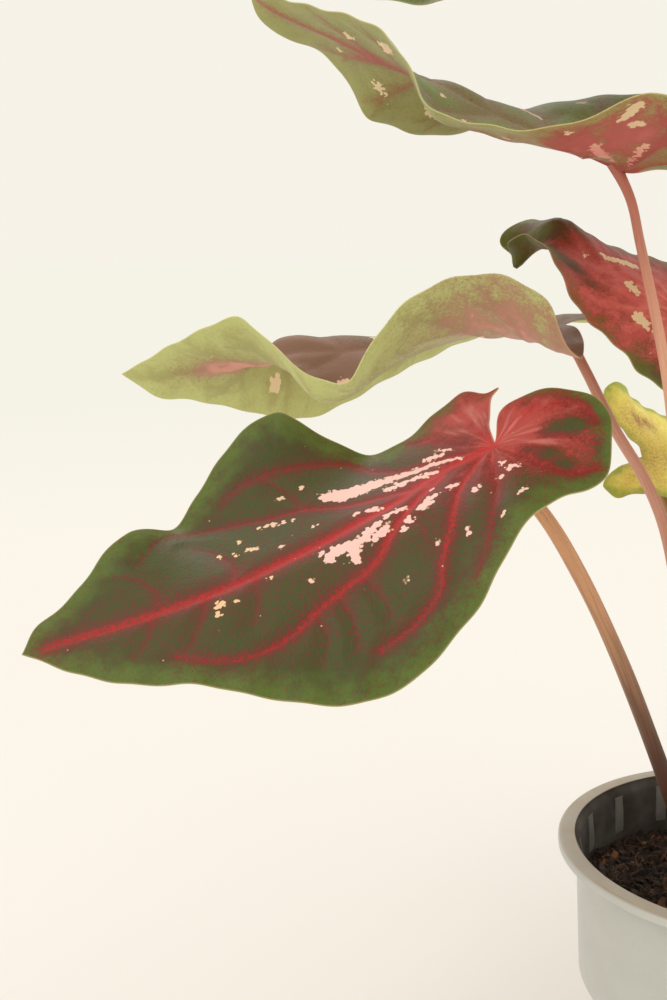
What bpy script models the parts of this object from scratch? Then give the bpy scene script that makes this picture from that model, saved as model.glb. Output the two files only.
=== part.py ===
"""A caladium in a nursery pot: waved leaf blades, leaf stalks, tuber, soil and pot.

Metres, +Z up, with the origin at the middle of the pot's underside. The leaf tables are in
millimetres. Each blade lies in a frame of its own: x runs from the stalk to the tip, y to the
left of that, and z up from the blade's plane.
"""
import math

import bpy
import numpy as np
from mathutils import Matrix, Vector
from mathutils.bvhtree import BVHTree
from mathutils.geometry import delaunay_2d_cdt

MM = 0.001
GAP = 0.3 * MM

# Pot, turned about Z
POT_HEIGHT = 90 * MM
RIM_RADIUS = 60 * MM
RIM_INNER_RADIUS = 54.8 * MM
LIP_HEIGHT = 3 * MM
LIP_THICKNESS = 1.6 * MM
FLANGE_THICKNESS = 1.5 * MM
RIM_EDGE = 0.8 * MM
WALL_TOP_RADIUS = 54.6 * MM
WALL_STEP_RADIUS = 52.3 * MM
STEP_TOP = 46 * MM
STEP_BOTTOM = 40 * MM
STEP_RADIUS = 48.5 * MM
BASE_RADIUS = 43 * MM
WALL = 1.4 * MM
FLOOR = 2.2 * MM
BASE_EDGE = 1 * MM
POT_SIDES = 60
DRAIN_COUNT = 8
DRAIN_RADIUS = 4.5 * MM
DRAIN_SIDES = 12
DRAIN_CIRCLE = 31 * MM
RIB_COUNT = 18
RIB_WIDTH = 4 * MM
RIB_DEPTH = 0.9 * MM
RIB_TOP = 87 * MM
RIB_BOTTOM = 75 * MM

# Soil and tuber
SOIL_LEVEL = 71 * MM
SOIL_SHOULDER = 66 * MM
SOIL_GAP = GAP + 0.45 * MM
SOIL_FALL = 0.05
CLOD_HEIGHT = 1.3 * MM
CRUMB_HEIGHT = 0.8 * MM
HEAP_SPOT = (-46 * MM, 6 * MM)
HEAP_WIDTH = 13 * MM
HEAP_HEIGHT = 5 * MM
SOIL_SIDES = 36
SOIL_RINGS = 6
TUBER_CENTRE = Vector((-1, 5, 50)) * MM
TUBER_RADIUS = 21 * MM
TUBER_HALF_HEIGHT = 10 * MM
TUBER_SIDES = 20
TUBER_RINGS = 9
TUBER_GAP = 0.4 * MM

# Blades and stalks
BLADE_THICKNESS = 0.7 * MM
BLADE_GRID = 8.2
GRID_CLEARANCE = 0.55
MARGIN_STEP = 6.0
SAME_SPOT = 0.8
SHEET_EASE = 2.0
SLOPE_STEP = 0.05
SEAT_X = 3.2
RAY_DROP = 60
STALK_SIDES = 8
STALK_STEP = 16 * MM
SLEEVE_TOP = 84 * MM
SLEEVE_GAP = 0.4 * MM
SHARP_ANGLE = 40

# One entry a leaf: where the stalk meets it, the tip's heading, dip and the blade's roll in
# degrees, the two margins from the notch round the rear lobe to the tip, points on the
# midrib and on folds, and the stalk from the blade down to the tuber with its radii.
LEAVES = {
    "front": dict(
        joint=(-86.7, -31.4, 215.5), heading=190, dip=21.5, roll=-30,
        left=[(-1, -1, 0), (-6, -8, 2), (-15, -10, 3), (-27, -3, 3), (-30, 7, 2), (-26, 16, 1),
              (-19, 26, 0), (-9, 30, 4), (3, 35, 9), (12, 39, 6), (24, 47, 1), (34, 50, -4),
              (47, 54, -7), (61, 53, -7), (78, 44, -4), (92, 34, -1), (106, 27, 0),
              (118, 17, 0), (131, 2, 0)],
        right=[(-1, -1, 0), (-3, -9, 0), (-8, -18, -1), (-11, -21, -1), (-8, -24, -4),
               (-3, -30, -6), (7, -28, -8), (19, -25, -10), (27, -28, -12), (34, -33, -8),
               (42, -41, -1), (46, -45, 1), (57, -44, 0), (66, -39, -2), (76, -32, -5),
               (85, -25, -6), (95, -22, 2), (102, -19, 2), (116, -9, 0), (125, -5, 0),
               (131, 2, 0)],
        inner=[(17, 4, 0), (40, 7, -1), (63, 9, -1), (85, 9, 0), (106, 7, 0), (124, 4, 0)],
        stalk=[(-73.6, -28.8, 198), (-61.5, -23.5, 179), (-48.4, -17.6, 153), (-34.2, -11.1, 119.6),
               (-23.3, -7.6, 91.6), (-17.5, -5.5, 74), (-14, -4, 50)], radii=(2.0, 2.3, 2.8)),
    "top": dict(
        joint=(-45.4, 18.9, 287.4), heading=166.5, dip=-25.2, roll=0,
        left=[(-3, 2, 0), (-7, 6, 3), (-13, 9, 7), (-26, 12, 11), (-35, 22, 13), (-33, 34, 16),
              (-24, 43, 19), (-12, 48, 20), (0, 50, 18), (14, 49, 4), (28, 47, -4), (40, 44, -7),
              (50, 41, -8), (58, 38, -3), (66, 35, 2), (76, 30, 5), (90, 22, 4), (104, 14, 2),
              (116, 6, 1), (123, 0, 0)],
        right=[(-3, -2, 0), (-8, -4, 3), (-15, -8, 7), (-26, -12, 12), (-34, -22, 16),
               (-32, -34, 19), (-20, -45, 22), (-6, -50, 24), (8, -50, 23), (24, -49, 14),
               (38, -46, 4), (50, -43, -8), (64, -38, -17), (72, -34, -18), (80, -29, -19),
               (92, -22, -10), (104, -15, -7), (113, -11, -8), (119, -6, -5), (123, 0, 0)],
        inner=[(20, 0, -1), (45, 0, -2), (70, 0, -2), (95, 0, -2), (112, 0, -2),
               (50, 33, -10), (40, 36, -8), (28, 36, -5), (14, 30, -2), (58, -14, 0),
               (45, -16, 1), (32, -20, 3)],
        stalk=[(-43.4, 17.6, 278.6), (-40.4, 16.7, 266.6), (-34.4, 13.5, 240.6), (-31.8, 12.4, 228),
               (-26, 10, 190), (-19, 7, 140), (-13, 5, 95), (-10.5, 4.5, 74), (-9, 4, 50)],
        radii=(1.3, 1.9, 2.6)),
    "left": dict(
        joint=(-55.6, 65.3, 239.4), heading=176.4, dip=6.6, roll=0,
        left=[(-3, 2, 0), (-6, 10, -2), (-6, 20, -5), (-4, 29, -8), (0, 35, -5), (3, 42, 3),
              (7, 48, 12), (16, 49, 19), (32, 48, 21), (46, 46, 16), (58, 43, 5), (66, 40, -6),
              (74, 37, -6), (82, 34, -1), (90, 31, 7), (98, 27, 15), (108, 22, 14), (122, 14, 9),
              (134, 6, 4), (144, 0, 0)],
        right=[(-3, -2, 0), (-14, -8, 0), (-26, -14, -2), (-32, -24, -4), (-30, -36, -5),
               (-20, -45, -4), (-6, -49, -4), (10, -50, -4), (28, -48, -6), (44, -45, -11),
               (58, -42, -16), (72, -38, -22), (86, -34, -26), (98, -28, -24), (112, -21, -18),
               (124, -14, -13), (136, -6, -9), (144, 0, 0)],
        inner=[(20, 0, 0), (45, 0, -1), (70, 0, -1), (95, 0, -2), (112, 0, -2), (130, 0, -2),
               (92, -10, 4), (84, -14, 3), (66, -14, 2), (78, 28, -12), (66, 32, -10)],
        stalk=[(-50.5, 63, 232), (-47, 59.4, 225.6), (-38.2, 51.6, 207.3), (-29.6, 44.5, 192.4),
               (-23.9, 38.4, 177.6), (-19, 31, 150), (-14, 23.5, 115), (-9.5, 15.5, 78),
               (-8, 13, 50)], radii=(1.6, 2.0, 2.6)),
    "red": dict(
        joint=(-15.9, 40.3, 242.2), heading=165, dip=-25, roll=-40,
        left=[(-3, 2, 0), (-14, 8, 1), (-24, 14, 2), (-27, 24, 2), (-20, 32, 1), (-8, 33, 0),
              (3, 31, 0), (9, 30, 0), (15, 26, 0), (22, 24, 1), (30, 21, 1), (37, 18, 3),
              (44, 14, 7), (52, 9, 9), (59, 6, 7), (64, 2, -3), (62, -4, -14), (59, -7, -20)],
        right=[(-3, -2, 0), (-14, -8, 0), (-26, -14, 0), (-28, -24, -3), (-20, -33, -8),
               (-6, -35, -12), (6, -34, -14), (18, -32, -13), (31, -28, -13), (45, -25, -11),
               (56, -23, -11), (67, -19, -14), (69, -12, -18), (59, -7, -20)],
        inner=[(20, -2, 0), (38, -3, 0), (50, -4, 0), (58, -8, -5)],
        stalk=[(-13.2, 38.5, 228), (-9, 32, 190), (-5, 24, 150), (-1.5, 16.5, 110),
               (0.5, 11, 78), (1, 8.5, 50)], radii=(1.5, 1.9, 2.6)),
    "small": dict(
        joint=(-14.8, 106.4, 190.8), heading=20, dip=5, roll=48,
        left=[(-3, 2, 0), (-8, 10, 0), (-12, 20, 0), (-9, 28, 0), (-2, 31, 0), (5, 30, -6),
              (13, 29, -11), (23, 26, -13), (34, 21, -12), (46, 14, -9), (58, 7, -6), (70, 0, -5)],
        right=[(-3, -2, 0), (-10, -5, 0), (-18, -9, 0), (-23, -15, 0), (-20, -20, 1),
               (-12, -20, 4), (-2, -24, 8), (8, -27, 10), (20, -26, 8), (34, -20, 4),
               (46, -13, 0), (58, -7, -3), (70, 0, -5)],
        inner=[(20, 0, -1), (40, 0, -2), (56, 0, -3)],
        stalk=[(-12, 97, 180), (-6, 82, 158), (0, 62, 130), (2, 42, 104), (1.5, 28, 84),
               (1, 20.5, 71), (0, 17, 50)], radii=(1.3, 1.7, 2.3)),
    "upper": dict(
        joint=(-8, 62, 352), heading=190, dip=6, roll=0,
        left=[(-3, 2, 0), (-14, 8, 2), (-26, 13, 4), (-33, 23, 4), (-29, 35, 2), (-16, 43, 0),
              (0, 46, -3), (16, 46, -2), (32, 42, 2), (48, 37, 3), (64, 30, 0), (80, 21, -4),
              (90, 16, -7), (97, 12, -8), (106, 7, -6), (118, 0, -2)],
        right=[(-3, -2, 0), (-14, -8, 2), (-26, -13, 4), (-33, -23, 4), (-29, -35, 2),
               (-16, -43, 4), (0, -46, 8), (16, -46, 4), (32, -42, -3), (48, -37, -2),
               (64, -30, 4), (80, -21, 4), (94, -14, 0), (107, -6, -1), (118, 0, -2)],
        inner=[(20, 0, -1), (40, 0, -1), (60, 0, -1), (80, 0, -1), (100, 0, -2)],
        stalk=[(-7, 62.5, 340), (4, 64, 314), (18, 60, 262), (24, 50, 210), (20, 36, 150),
               (13, 23, 100), (9, 16, 74), (8, 14, 50)], radii=(1.4, 2.0, 2.7)),
    "right_front": dict(
        joint=(62, -38, 205), heading=-28, dip=20, roll=14,
        left=[(-3, 2, 0), (-14, 9, 2), (-27, 15, 3), (-34, 26, 4), (-29, 38, 3), (-16, 46, 0),
              (0, 49, -4), (16, 48, -5), (32, 45, -1), (48, 38, 5), (64, 30, 4), (80, 22, -1),
              (94, 14, -2), (107, 6, 0), (118, 0, 0)],
        right=[(-3, -2, 0), (-14, -9, 3), (-27, -14, 5), (-35, -25, 4), (-31, -38, 0),
               (-18, -47, -5), (-2, -50, -8), (14, -49, -5), (30, -46, 1), (46, -40, 4),
               (62, -31, 0), (78, -23, -5), (92, -14, -3), (106, -6, -1), (118, 0, 0)],
        inner=[(20, 0, -1), (45, 0, -1), (70, 0, -1), (95, 0, -1)],
        stalk=[(57, -34.5, 196), (47, -28, 180), (33, -19, 148), (19, -10, 106), (11, -5.5, 78),
               (6, -4, 50)], radii=(1.9, 2.2, 2.7)),
    "right_back": dict(
        joint=(84, 40, 246), heading=30, dip=6, roll=-10,
        left=[(-3, 2, 0), (-15, 9, 3), (-28, 14, 5), (-36, 26, 4), (-31, 40, 0), (-17, 48, -5),
              (0, 52, -7), (17, 51, -3), (34, 47, 4), (50, 41, 6), (66, 33, 1), (82, 24, -5),
              (98, 15, -4), (112, 7, -1), (126, 0, -1)],
        right=[(-3, -2, 0), (-15, -9, 2), (-28, -15, 2), (-36, -27, 0), (-30, -40, -2),
               (-16, -48, 0), (2, -51, 5), (18, -50, 6), (34, -46, 1), (50, -40, -5),
               (66, -32, -5), (82, -23, 1), (98, -14, 3), (112, -7, 0), (126, 0, -1)],
        inner=[(20, 0, -1), (45, 0, -1), (70, 0, -1), (95, 0, -2), (112, 0, -2)],
        stalk=[(81, 38, 233), (71, 33, 210), (51, 23, 168), (31, 13, 120), (18, 6, 84),
               (13.5, 4.5, 70), (11, 4, 50)], radii=(1.5, 2.0, 2.6)),
}

BLADE_COLOURS = {
    "front": (0.10, 0.13, 0.05), "top": (0.30, 0.33, 0.14), "left": (0.33, 0.36, 0.16),
    "red": (0.42, 0.10, 0.07), "small": (0.45, 0.42, 0.12), "upper": (0.08, 0.10, 0.04),
    "right_front": (0.12, 0.13, 0.06), "right_back": (0.13, 0.14, 0.06),
}


def clear_scene():
    for obj in list(bpy.data.objects):
        bpy.data.objects.remove(obj, do_unlink=True)


def material(name, colour, roughness):
    mat = bpy.data.materials.new(name)
    mat.use_nodes = True
    shader = mat.node_tree.nodes["Principled BSDF"]
    shader.inputs["Base Color"].default_value = (*colour, 1.0)
    shader.inputs["Roughness"].default_value = roughness
    shader.inputs["Metallic"].default_value = 0.0
    return mat


def add_object(name, verts, faces, mat=None, smooth=True):
    mesh = bpy.data.meshes.new(name)
    mesh.from_pydata([tuple(v) for v in verts], [], faces)
    mesh.update()
    if smooth:
        mesh.shade_smooth()
        mesh.set_sharp_from_angle(angle=math.radians(SHARP_ANGLE))
    obj = bpy.data.objects.new(name, mesh)
    bpy.context.collection.objects.link(obj)
    if mat:
        mesh.materials.append(mat)
    return obj


def boolean(obj, cutter, operation):
    cutter.hide_render = True
    cutter.display_type = "WIRE"
    modifier = obj.modifiers.new(cutter.name, "BOOLEAN")
    modifier.operation = operation
    modifier.solver = "EXACT"
    modifier.object = cutter


def smooth_curve(points, steps=10):
    """A curve through the points, with its speed set by their spacing."""
    p = np.asarray(points, float)
    spans = np.sqrt(np.linalg.norm(np.diff(p, axis=0), axis=1))
    slope = np.diff(p, axis=0) / spans[:, None]
    inner = (slope[:-1] * spans[1:, None] + slope[1:] * spans[:-1, None])
    inner /= (spans[:-1] + spans[1:])[:, None]
    tangent = np.vstack([slope[:1], inner, slope[-1:]])
    u = np.linspace(0, 1, steps, endpoint=False)[:, None]
    rows = []
    for i, span in enumerate(spans):
        rows.append((2 * u**3 - 3 * u**2 + 1) * p[i] + (u**3 - 2 * u**2 + u) * span * tangent[i]
                    + (3 * u**2 - 2 * u**3) * p[i + 1] + (u**3 - u**2) * span * tangent[i + 1])
    rows.append(p[-1:])
    return np.concatenate(rows)


def evenly(curve, step):
    """The curve's points again, at even steps along it."""
    lengths = np.r_[0, np.cumsum(np.linalg.norm(np.diff(curve, axis=0), axis=1))]
    count = max(3, int(round(lengths[-1] / step)) + 1)
    marks = np.linspace(0, lengths[-1], count)
    return np.stack([np.interp(marks, lengths, column) for column in curve.T], axis=1)


def leaf_frame(leaf):
    turn = Matrix.Rotation(math.radians(leaf["heading"]), 4, "Z")
    tilt = Matrix.Rotation(math.radians(leaf["dip"]), 4, "Y")
    roll = Matrix.Rotation(math.radians(leaf["roll"]), 4, "X")
    return Matrix.Translation(Vector(leaf["joint"]) * MM) @ turn @ tilt @ roll


def bend(distance):
    """The bending of a thin sheet at a distance from a point that holds it."""
    safe = np.maximum(distance, 1e-9)
    return np.where(distance > 0, distance**2 * np.log(safe), 0.0)


class Sheet:
    """The surface of a thin sheet held at a leaf's margin, midrib and folds."""

    def __init__(self, leaf):
        held = [(0, 0, 0)]
        for point in leaf["left"] + leaf["right"] + leaf["inner"]:
            if all(math.hypot(point[0] - h[0], point[1] - h[1]) > SAME_SPOT for h in held):
                held.append(point)
        held = np.asarray(held, float)
        self.points = held[:, :2]
        count = len(held)
        between = np.linalg.norm(self.points[:, None] - self.points[None], axis=2)
        plane = np.c_[np.ones(count), self.points]
        system = np.block([[bend(between) + SHEET_EASE * np.eye(count), plane],
                           [plane.T, np.zeros((3, 3))]])
        self.weights = np.linalg.solve(system, np.r_[held[:, 2], 0, 0, 0])

    def height(self, xy):
        xy = np.asarray(xy, float)
        away = np.linalg.norm(xy[:, None] - self.points[None], axis=2)
        return bend(away) @ self.weights[:-3] + self.weights[-3] + xy @ self.weights[-2:]

    def normals(self, xy):
        nudge = SLOPE_STEP
        dx = (self.height(xy + [nudge, 0]) - self.height(xy - [nudge, 0])) / (2 * nudge)
        dy = (self.height(xy + [0, nudge]) - self.height(xy - [0, nudge])) / (2 * nudge)
        normal = np.stack([-dx, -dy, np.ones(len(xy))], axis=1)
        return normal / np.linalg.norm(normal, axis=1)[:, None]


def outline(leaf):
    """The blade's outline in its own plane, anticlockwise and without a doubled point."""
    left = evenly(smooth_curve(leaf["left"])[:, :2], MARGIN_STEP)
    right = evenly(smooth_curve(leaf["right"])[:, :2], MARGIN_STEP)
    notch = [] if np.allclose(left[0], right[0]) else [right[0]]
    return np.array([*right[1:], *left[::-1][1:], *notch])


def inside(point, ring, clearance):
    """Whether a point is within the ring and further from its edge than the clearance."""
    start = ring
    end = np.roll(ring, -1, axis=0)
    crosses = (start[:, 1] > point[1]) != (end[:, 1] > point[1])
    rise = np.where(crosses, end[:, 1] - start[:, 1], 1.0)
    reach = start[:, 0] + (point[1] - start[:, 1]) * (end[:, 0] - start[:, 0]) / rise
    if np.count_nonzero(crosses & (point[0] < reach)) % 2 == 0:
        return False
    side = end - start
    along = np.clip(((point - start) * side).sum(1) / (side**2).sum(1), 0, 1)
    nearest = np.linalg.norm(start + along[:, None] * side - point, axis=1).min()
    return nearest > clearance


def triangulate(leaf):
    """Points and triangles of the flat blade."""
    ring = outline(leaf)
    low, high = ring.min(axis=0), ring.max(axis=0)
    row_step = BLADE_GRID * math.sqrt(3) / 2
    grid = []
    for row, y in enumerate(np.arange(low[1], high[1], row_step)):
        shift = BLADE_GRID / 2 * (row % 2)
        grid += [(x + shift, y) for x in np.arange(low[0], high[0], BLADE_GRID)]
    core = [p for p in grid if inside(np.array(p), ring, BLADE_GRID * GRID_CLEARANCE)]
    flat = [Vector(p) for p in [*ring.tolist(), *core]]
    edges = [(i, (i + 1) % len(ring)) for i in range(len(ring))]
    points, _, faces, _, _, _ = delaunay_2d_cdt(flat, edges, [], 1, 1e-6)
    return np.array([tuple(p) for p in points]), [tuple(f) for f in faces]


def blade_solid(leaf, sheet):
    """Vertices in millimetres in the blade's frame, and faces, of a sheet of even thickness."""
    flat, faces = triangulate(leaf)
    middle = np.c_[flat, sheet.height(flat)]
    offset = sheet.normals(flat) * (BLADE_THICKNESS / MM / 2)
    count = len(flat)
    used = {edge for a, b, c in faces for edge in ((a, b), (b, c), (c, a))}
    border = [edge for edge in used if (edge[1], edge[0]) not in used]
    under = [(c + count, b + count, a + count) for a, b, c in faces]
    rim = []
    for a, b in border:
        rim += [(a, a + count, b + count), (a, b + count, b)]
    return np.vstack([middle + offset, middle - offset]), faces + under + rim, under


def make_blade(name, leaf, sheet, mat):
    verts, faces, under = blade_solid(leaf, sheet)
    frame = leaf_frame(leaf)
    placed = [frame @ (Vector(v) * MM) for v in verts]
    add_object(f"{name}_blade", placed, faces, mat)
    return BVHTree.FromPolygons([Vector(v) for v in verts], under), frame


def stalk_rings(leaf, frame, swell=0.0):
    """Rings of points along the stalk, from the blade down, with parallel sides."""
    seat = frame @ (Vector((SEAT_X, 0, -1)) * MM)
    path = [tuple(seat)] + [tuple(Vector(p) * MM) for p in leaf["stalk"]]
    centre = evenly(smooth_curve(path), STALK_STEP)
    radii = np.interp(np.linspace(0, 1, len(centre)), [0, 0.5, 1], leaf["radii"]) * MM + swell
    side = Vector((1, 0, 0))
    rings = []
    for i, point in enumerate(centre):
        before = centre[max(i - 1, 0)]
        after = centre[min(i + 1, len(centre) - 1)]
        along = Vector(after - before).normalized()
        side = (side - along * side.dot(along)).normalized()
        other = along.cross(side)
        ring = []
        for k in range(STALK_SIDES):
            turn = 2 * math.pi * k / STALK_SIDES
            reach = float(radii[i])
            ring.append(Vector(point) + reach * (side * math.cos(turn) + other * math.sin(turn)))
        rings.append(ring)
    return rings


def tube(rings):
    """A closed tube through the rings, with a fan on each end."""
    sides = len(rings[0])
    verts = [v for ring in rings for v in ring]
    faces = []
    for i in range(len(rings) - 1):
        for k in range(sides):
            a = i * sides + k
            b = i * sides + (k + 1) % sides
            faces += [(a, b + sides, a + sides), (a, b, b + sides)]
    first = len(verts)
    last_start = (len(rings) - 1) * sides
    verts.append(sum(rings[0], Vector()) / sides)
    verts.append(sum(rings[-1], Vector()) / sides)
    for k in range(sides):
        n = (k + 1) % sides
        faces.append((first, n, k))
        faces.append((first + 1, last_start + k, last_start + n))
    return verts, faces


def seat_on_blade(point, frame, under):
    """The point moved along the blade's normal to just below the blade's underside."""
    local = (frame.inverted() @ point) / MM
    hit = under.ray_cast(Vector((local.x, local.y, local.z - RAY_DROP)), Vector((0, 0, 1)))[0]
    height = hit.z - GAP / MM
    return frame @ (Vector((local.x, local.y, height)) * MM)


def tuber_top(x, y, growth=0.0):
    across = math.hypot(x - TUBER_CENTRE.x, y - TUBER_CENTRE.y) / (TUBER_RADIUS + growth)
    return TUBER_CENTRE.z + (TUBER_HALF_HEIGHT + growth) * math.sqrt(max(0.0, 1 - across**2))


def make_stalk(name, leaf, frame, under, mat):
    """The stalk, its upper end shaped to the blade and its foot to the tuber."""
    rings = stalk_rings(leaf, frame)
    rings[0] = [seat_on_blade(point, frame, under) for point in rings[0]]
    foot = []
    for upper, point in zip(rings[-2], rings[-1]):
        along = (point - upper).normalized()
        level = tuber_top(point.x, point.y) + GAP
        foot.append(point + along * ((level - point.z) / along.z))
    rings[-1] = foot
    verts, faces = tube(rings)
    top_centre, foot_centre = len(verts) - 2, len(verts) - 1
    verts[top_centre] = seat_on_blade(verts[top_centre], frame, under)
    middle = verts[foot_centre]
    verts[foot_centre] = Vector((middle.x, middle.y, tuber_top(middle.x, middle.y) + GAP))
    add_object(f"{name}_stalk", verts, faces, mat)


def make_sleeve(name, leaf, frame):
    """The cutter of a stalk's hole in the soil."""
    rings = [ring for ring in stalk_rings(leaf, frame, swell=SLEEVE_GAP)
             if ring[0].z < SLEEVE_TOP + STALK_STEP]
    verts, faces = tube(rings)
    return add_object(f"{name}_hole", verts, faces, smooth=False)


def turned(profile, sides):
    """A closed surface turned about Z from a profile whose two ends lie on the axis."""
    rows = profile[1:-1]
    verts = []
    for radius, z in rows:
        for k in range(sides):
            turn = 2 * math.pi * k / sides
            verts.append((radius * math.cos(turn), radius * math.sin(turn), z))
    faces = []
    for i in range(len(rows) - 1):
        for k in range(sides):
            n = (k + 1) % sides
            faces.append((i * sides + k, (i + 1) * sides + k, (i + 1) * sides + n, i * sides + n))
    top = len(verts)
    verts += [(0, 0, profile[0][1]), (0, 0, profile[-1][1])]
    last = (len(rows) - 1) * sides
    for k in range(sides):
        n = (k + 1) % sides
        faces.append((top, k, n))
        faces.append((top + 1, last + n, last + k))
    return verts, faces


def wall_radius(z):
    """The pot's outer radius under the lip, at height z."""
    marks = [0, STEP_BOTTOM, STEP_TOP, POT_HEIGHT - LIP_HEIGHT]
    return float(np.interp(z, marks, [BASE_RADIUS, STEP_RADIUS, WALL_STEP_RADIUS, WALL_TOP_RADIUS]))


def make_pot(mat):
    """The pot: a flat base, a stepped wall and a flanged rim, turned in one profile."""
    under_lip = POT_HEIGHT - LIP_HEIGHT
    under_flange = POT_HEIGHT - FLANGE_THICKNESS
    profile = [
        (0, FLOOR), (BASE_RADIUS - WALL - BASE_EDGE, FLOOR), (BASE_RADIUS - WALL, FLOOR + BASE_EDGE),
        (STEP_RADIUS - WALL, STEP_BOTTOM), (WALL_STEP_RADIUS - WALL, STEP_TOP),
        (RIM_INNER_RADIUS - WALL, POT_HEIGHT - RIM_EDGE), (RIM_INNER_RADIUS, POT_HEIGHT),
        (RIM_RADIUS - RIM_EDGE, POT_HEIGHT), (RIM_RADIUS, POT_HEIGHT - RIM_EDGE),
        (RIM_RADIUS, under_lip), (RIM_RADIUS - LIP_THICKNESS, under_lip),
        (RIM_RADIUS - LIP_THICKNESS, under_flange), (WALL_TOP_RADIUS, under_flange),
        (WALL_STEP_RADIUS, STEP_TOP), (STEP_RADIUS, STEP_BOTTOM), (BASE_RADIUS, BASE_EDGE),
        (BASE_RADIUS - BASE_EDGE, 0), (0, 0)]
    verts, faces = turned(profile, POT_SIDES)
    pot = add_object("pot", verts, faces, mat)
    for i in range(DRAIN_COUNT):
        turn = 2 * math.pi * (i + 0.5) / DRAIN_COUNT
        verts, faces = turned([(0, FLOOR * 2), (DRAIN_RADIUS, FLOOR * 2), (DRAIN_RADIUS, -FLOOR),
                               (0, -FLOOR)], DRAIN_SIDES)
        drill = add_object(f"drain_{i}", verts, faces, smooth=False)
        drill.location = (DRAIN_CIRCLE * math.cos(turn), DRAIN_CIRCLE * math.sin(turn), 0)
        boolean(pot, drill, "DIFFERENCE")
    boolean(pot, pot_ribs(), "UNION")


def pot_ribs():
    """Upright ribs on the inside of the wall, above the soil, as one cutter object."""
    verts, faces = [], []
    for i in range(RIB_COUNT):
        turn = Matrix.Rotation(2 * math.pi * (i + 0.5) / RIB_COUNT, 3, "Z")
        start = len(verts)
        for z in (RIB_BOTTOM, RIB_TOP):
            wall = wall_radius(z) - WALL
            for x, y in ((wall - RIB_DEPTH, 1), (wall - RIB_DEPTH, -1), (wall + WALL / 2, -1),
                         (wall + WALL / 2, 1)):
                verts.append(turn @ Vector((x, y * RIB_WIDTH / 2, z)))
        for a, b, c, d in ((0, 1, 2, 3), (4, 7, 6, 5), (0, 4, 5, 1), (1, 5, 6, 2), (2, 6, 7, 3),
                           (3, 7, 4, 0)):
            faces.append(tuple(start + k for k in (a, b, c, d)))
    return add_object("ribs", verts, faces, smooth=False)


def soil_height(x, y):
    """The soil's uneven top: higher at the left, with low clods and a heap by the rim."""
    clods = CLOD_HEIGHT * math.sin(x / (9 * MM) + 1.3) * math.cos(y / (8 * MM) + 0.4)
    crumbs = CRUMB_HEIGHT * math.sin(x / (4.2 * MM) + y / (5.1 * MM))
    away = math.hypot(x - HEAP_SPOT[0], y - HEAP_SPOT[1]) / HEAP_WIDTH
    heap = HEAP_HEIGHT * math.exp(-away * away)
    return SOIL_LEVEL - SOIL_FALL * x + heap + clods + crumbs


def make_soil(mat):
    """The soil: its sides follow the inside of the pot, with a gap."""
    inset = WALL + SOIL_GAP
    verts, faces = [], []
    for i in range(1, SOIL_RINGS + 1):
        reach = (wall_radius(SOIL_SHOULDER) - inset) * i / SOIL_RINGS
        for k in range(SOIL_SIDES):
            turn = 2 * math.pi * (k + 0.5 * (i % 2)) / SOIL_SIDES
            x, y = reach * math.cos(turn), reach * math.sin(turn)
            verts.append((x, y, soil_height(x, y)))
    sides = [(wall_radius(z), z) for z in (SOIL_SHOULDER, STEP_TOP, STEP_BOTTOM)]
    sides.append((BASE_RADIUS, FLOOR + BASE_EDGE + SOIL_GAP))
    sides.append((BASE_RADIUS - BASE_EDGE, FLOOR + GAP))
    for radius, z in sides:
        reach = radius - inset
        for k in range(SOIL_SIDES):
            turn = 2 * math.pi * k / SOIL_SIDES
            verts.append((reach * math.cos(turn), reach * math.sin(turn), z))
    rows = SOIL_RINGS + len(sides)
    for i in range(rows - 1):
        for k in range(SOIL_SIDES):
            n = (k + 1) % SOIL_SIDES
            a, b = i * SOIL_SIDES + k, i * SOIL_SIDES + n
            c, d = b + SOIL_SIDES, a + SOIL_SIDES
            faces += [(a, d, c), (a, c, b)] if i % 2 or i >= SOIL_RINGS else [(a, d, b), (b, d, c)]
    top = len(verts)
    verts += [(0, 0, soil_height(0, 0)), (0, 0, FLOOR + GAP)]
    last = (rows - 1) * SOIL_SIDES
    for k in range(SOIL_SIDES):
        n = (k + 1) % SOIL_SIDES
        faces.append((top, k, n))
        faces.append((top + 1, last + n, last + k))
    return add_object("soil", verts, faces, mat)


def tuber_mesh(name, growth, mat=None):
    """The tuber, a flattened ball, or the same shape larger all round."""
    profile = []
    for i in range(TUBER_RINGS + 1):
        turn = math.pi * i / TUBER_RINGS
        profile.append(((TUBER_RADIUS + growth) * math.sin(turn),
                        (TUBER_HALF_HEIGHT + growth) * math.cos(turn)))
    verts, faces = turned(profile, TUBER_SIDES)
    return add_object(name, [Vector(v) + TUBER_CENTRE for v in verts], faces, mat)


def main():
    clear_scene()
    stalk_mat = material("stalk", (0.45, 0.24, 0.16), 0.45)
    make_pot(material("pot", (0.42, 0.46, 0.46), 0.5))
    soil = make_soil(material("soil", (0.05, 0.03, 0.02), 0.95))
    tuber_mesh("tuber", 0.0, material("tuber", (0.16, 0.09, 0.05), 0.85))
    boolean(soil, tuber_mesh("tuber_pocket", TUBER_GAP), "DIFFERENCE")
    for name, leaf in LEAVES.items():
        sheet = Sheet(leaf)
        blade_mat = material(f"{name}_blade", BLADE_COLOURS[name], 0.45)
        under, frame = make_blade(name, leaf, sheet, blade_mat)
        make_stalk(name, leaf, frame, under, stalk_mat)
        boolean(soil, make_sleeve(name, leaf, frame), "DIFFERENCE")


main()
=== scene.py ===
"""The dressed caladium: fine waved blades with veins and blotches, stalks, tuber, soil and pot.

Tables are in millimetres and repeat the solids' own values. Each blade lies in a frame of its
own: x runs from the stalk to the tip, y to the left of that, and z up from the blade's plane.
"""
import math

import bpy
import numpy as np
from mathutils import Matrix, Vector, noise
from mathutils.geometry import delaunay_2d_cdt


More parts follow.
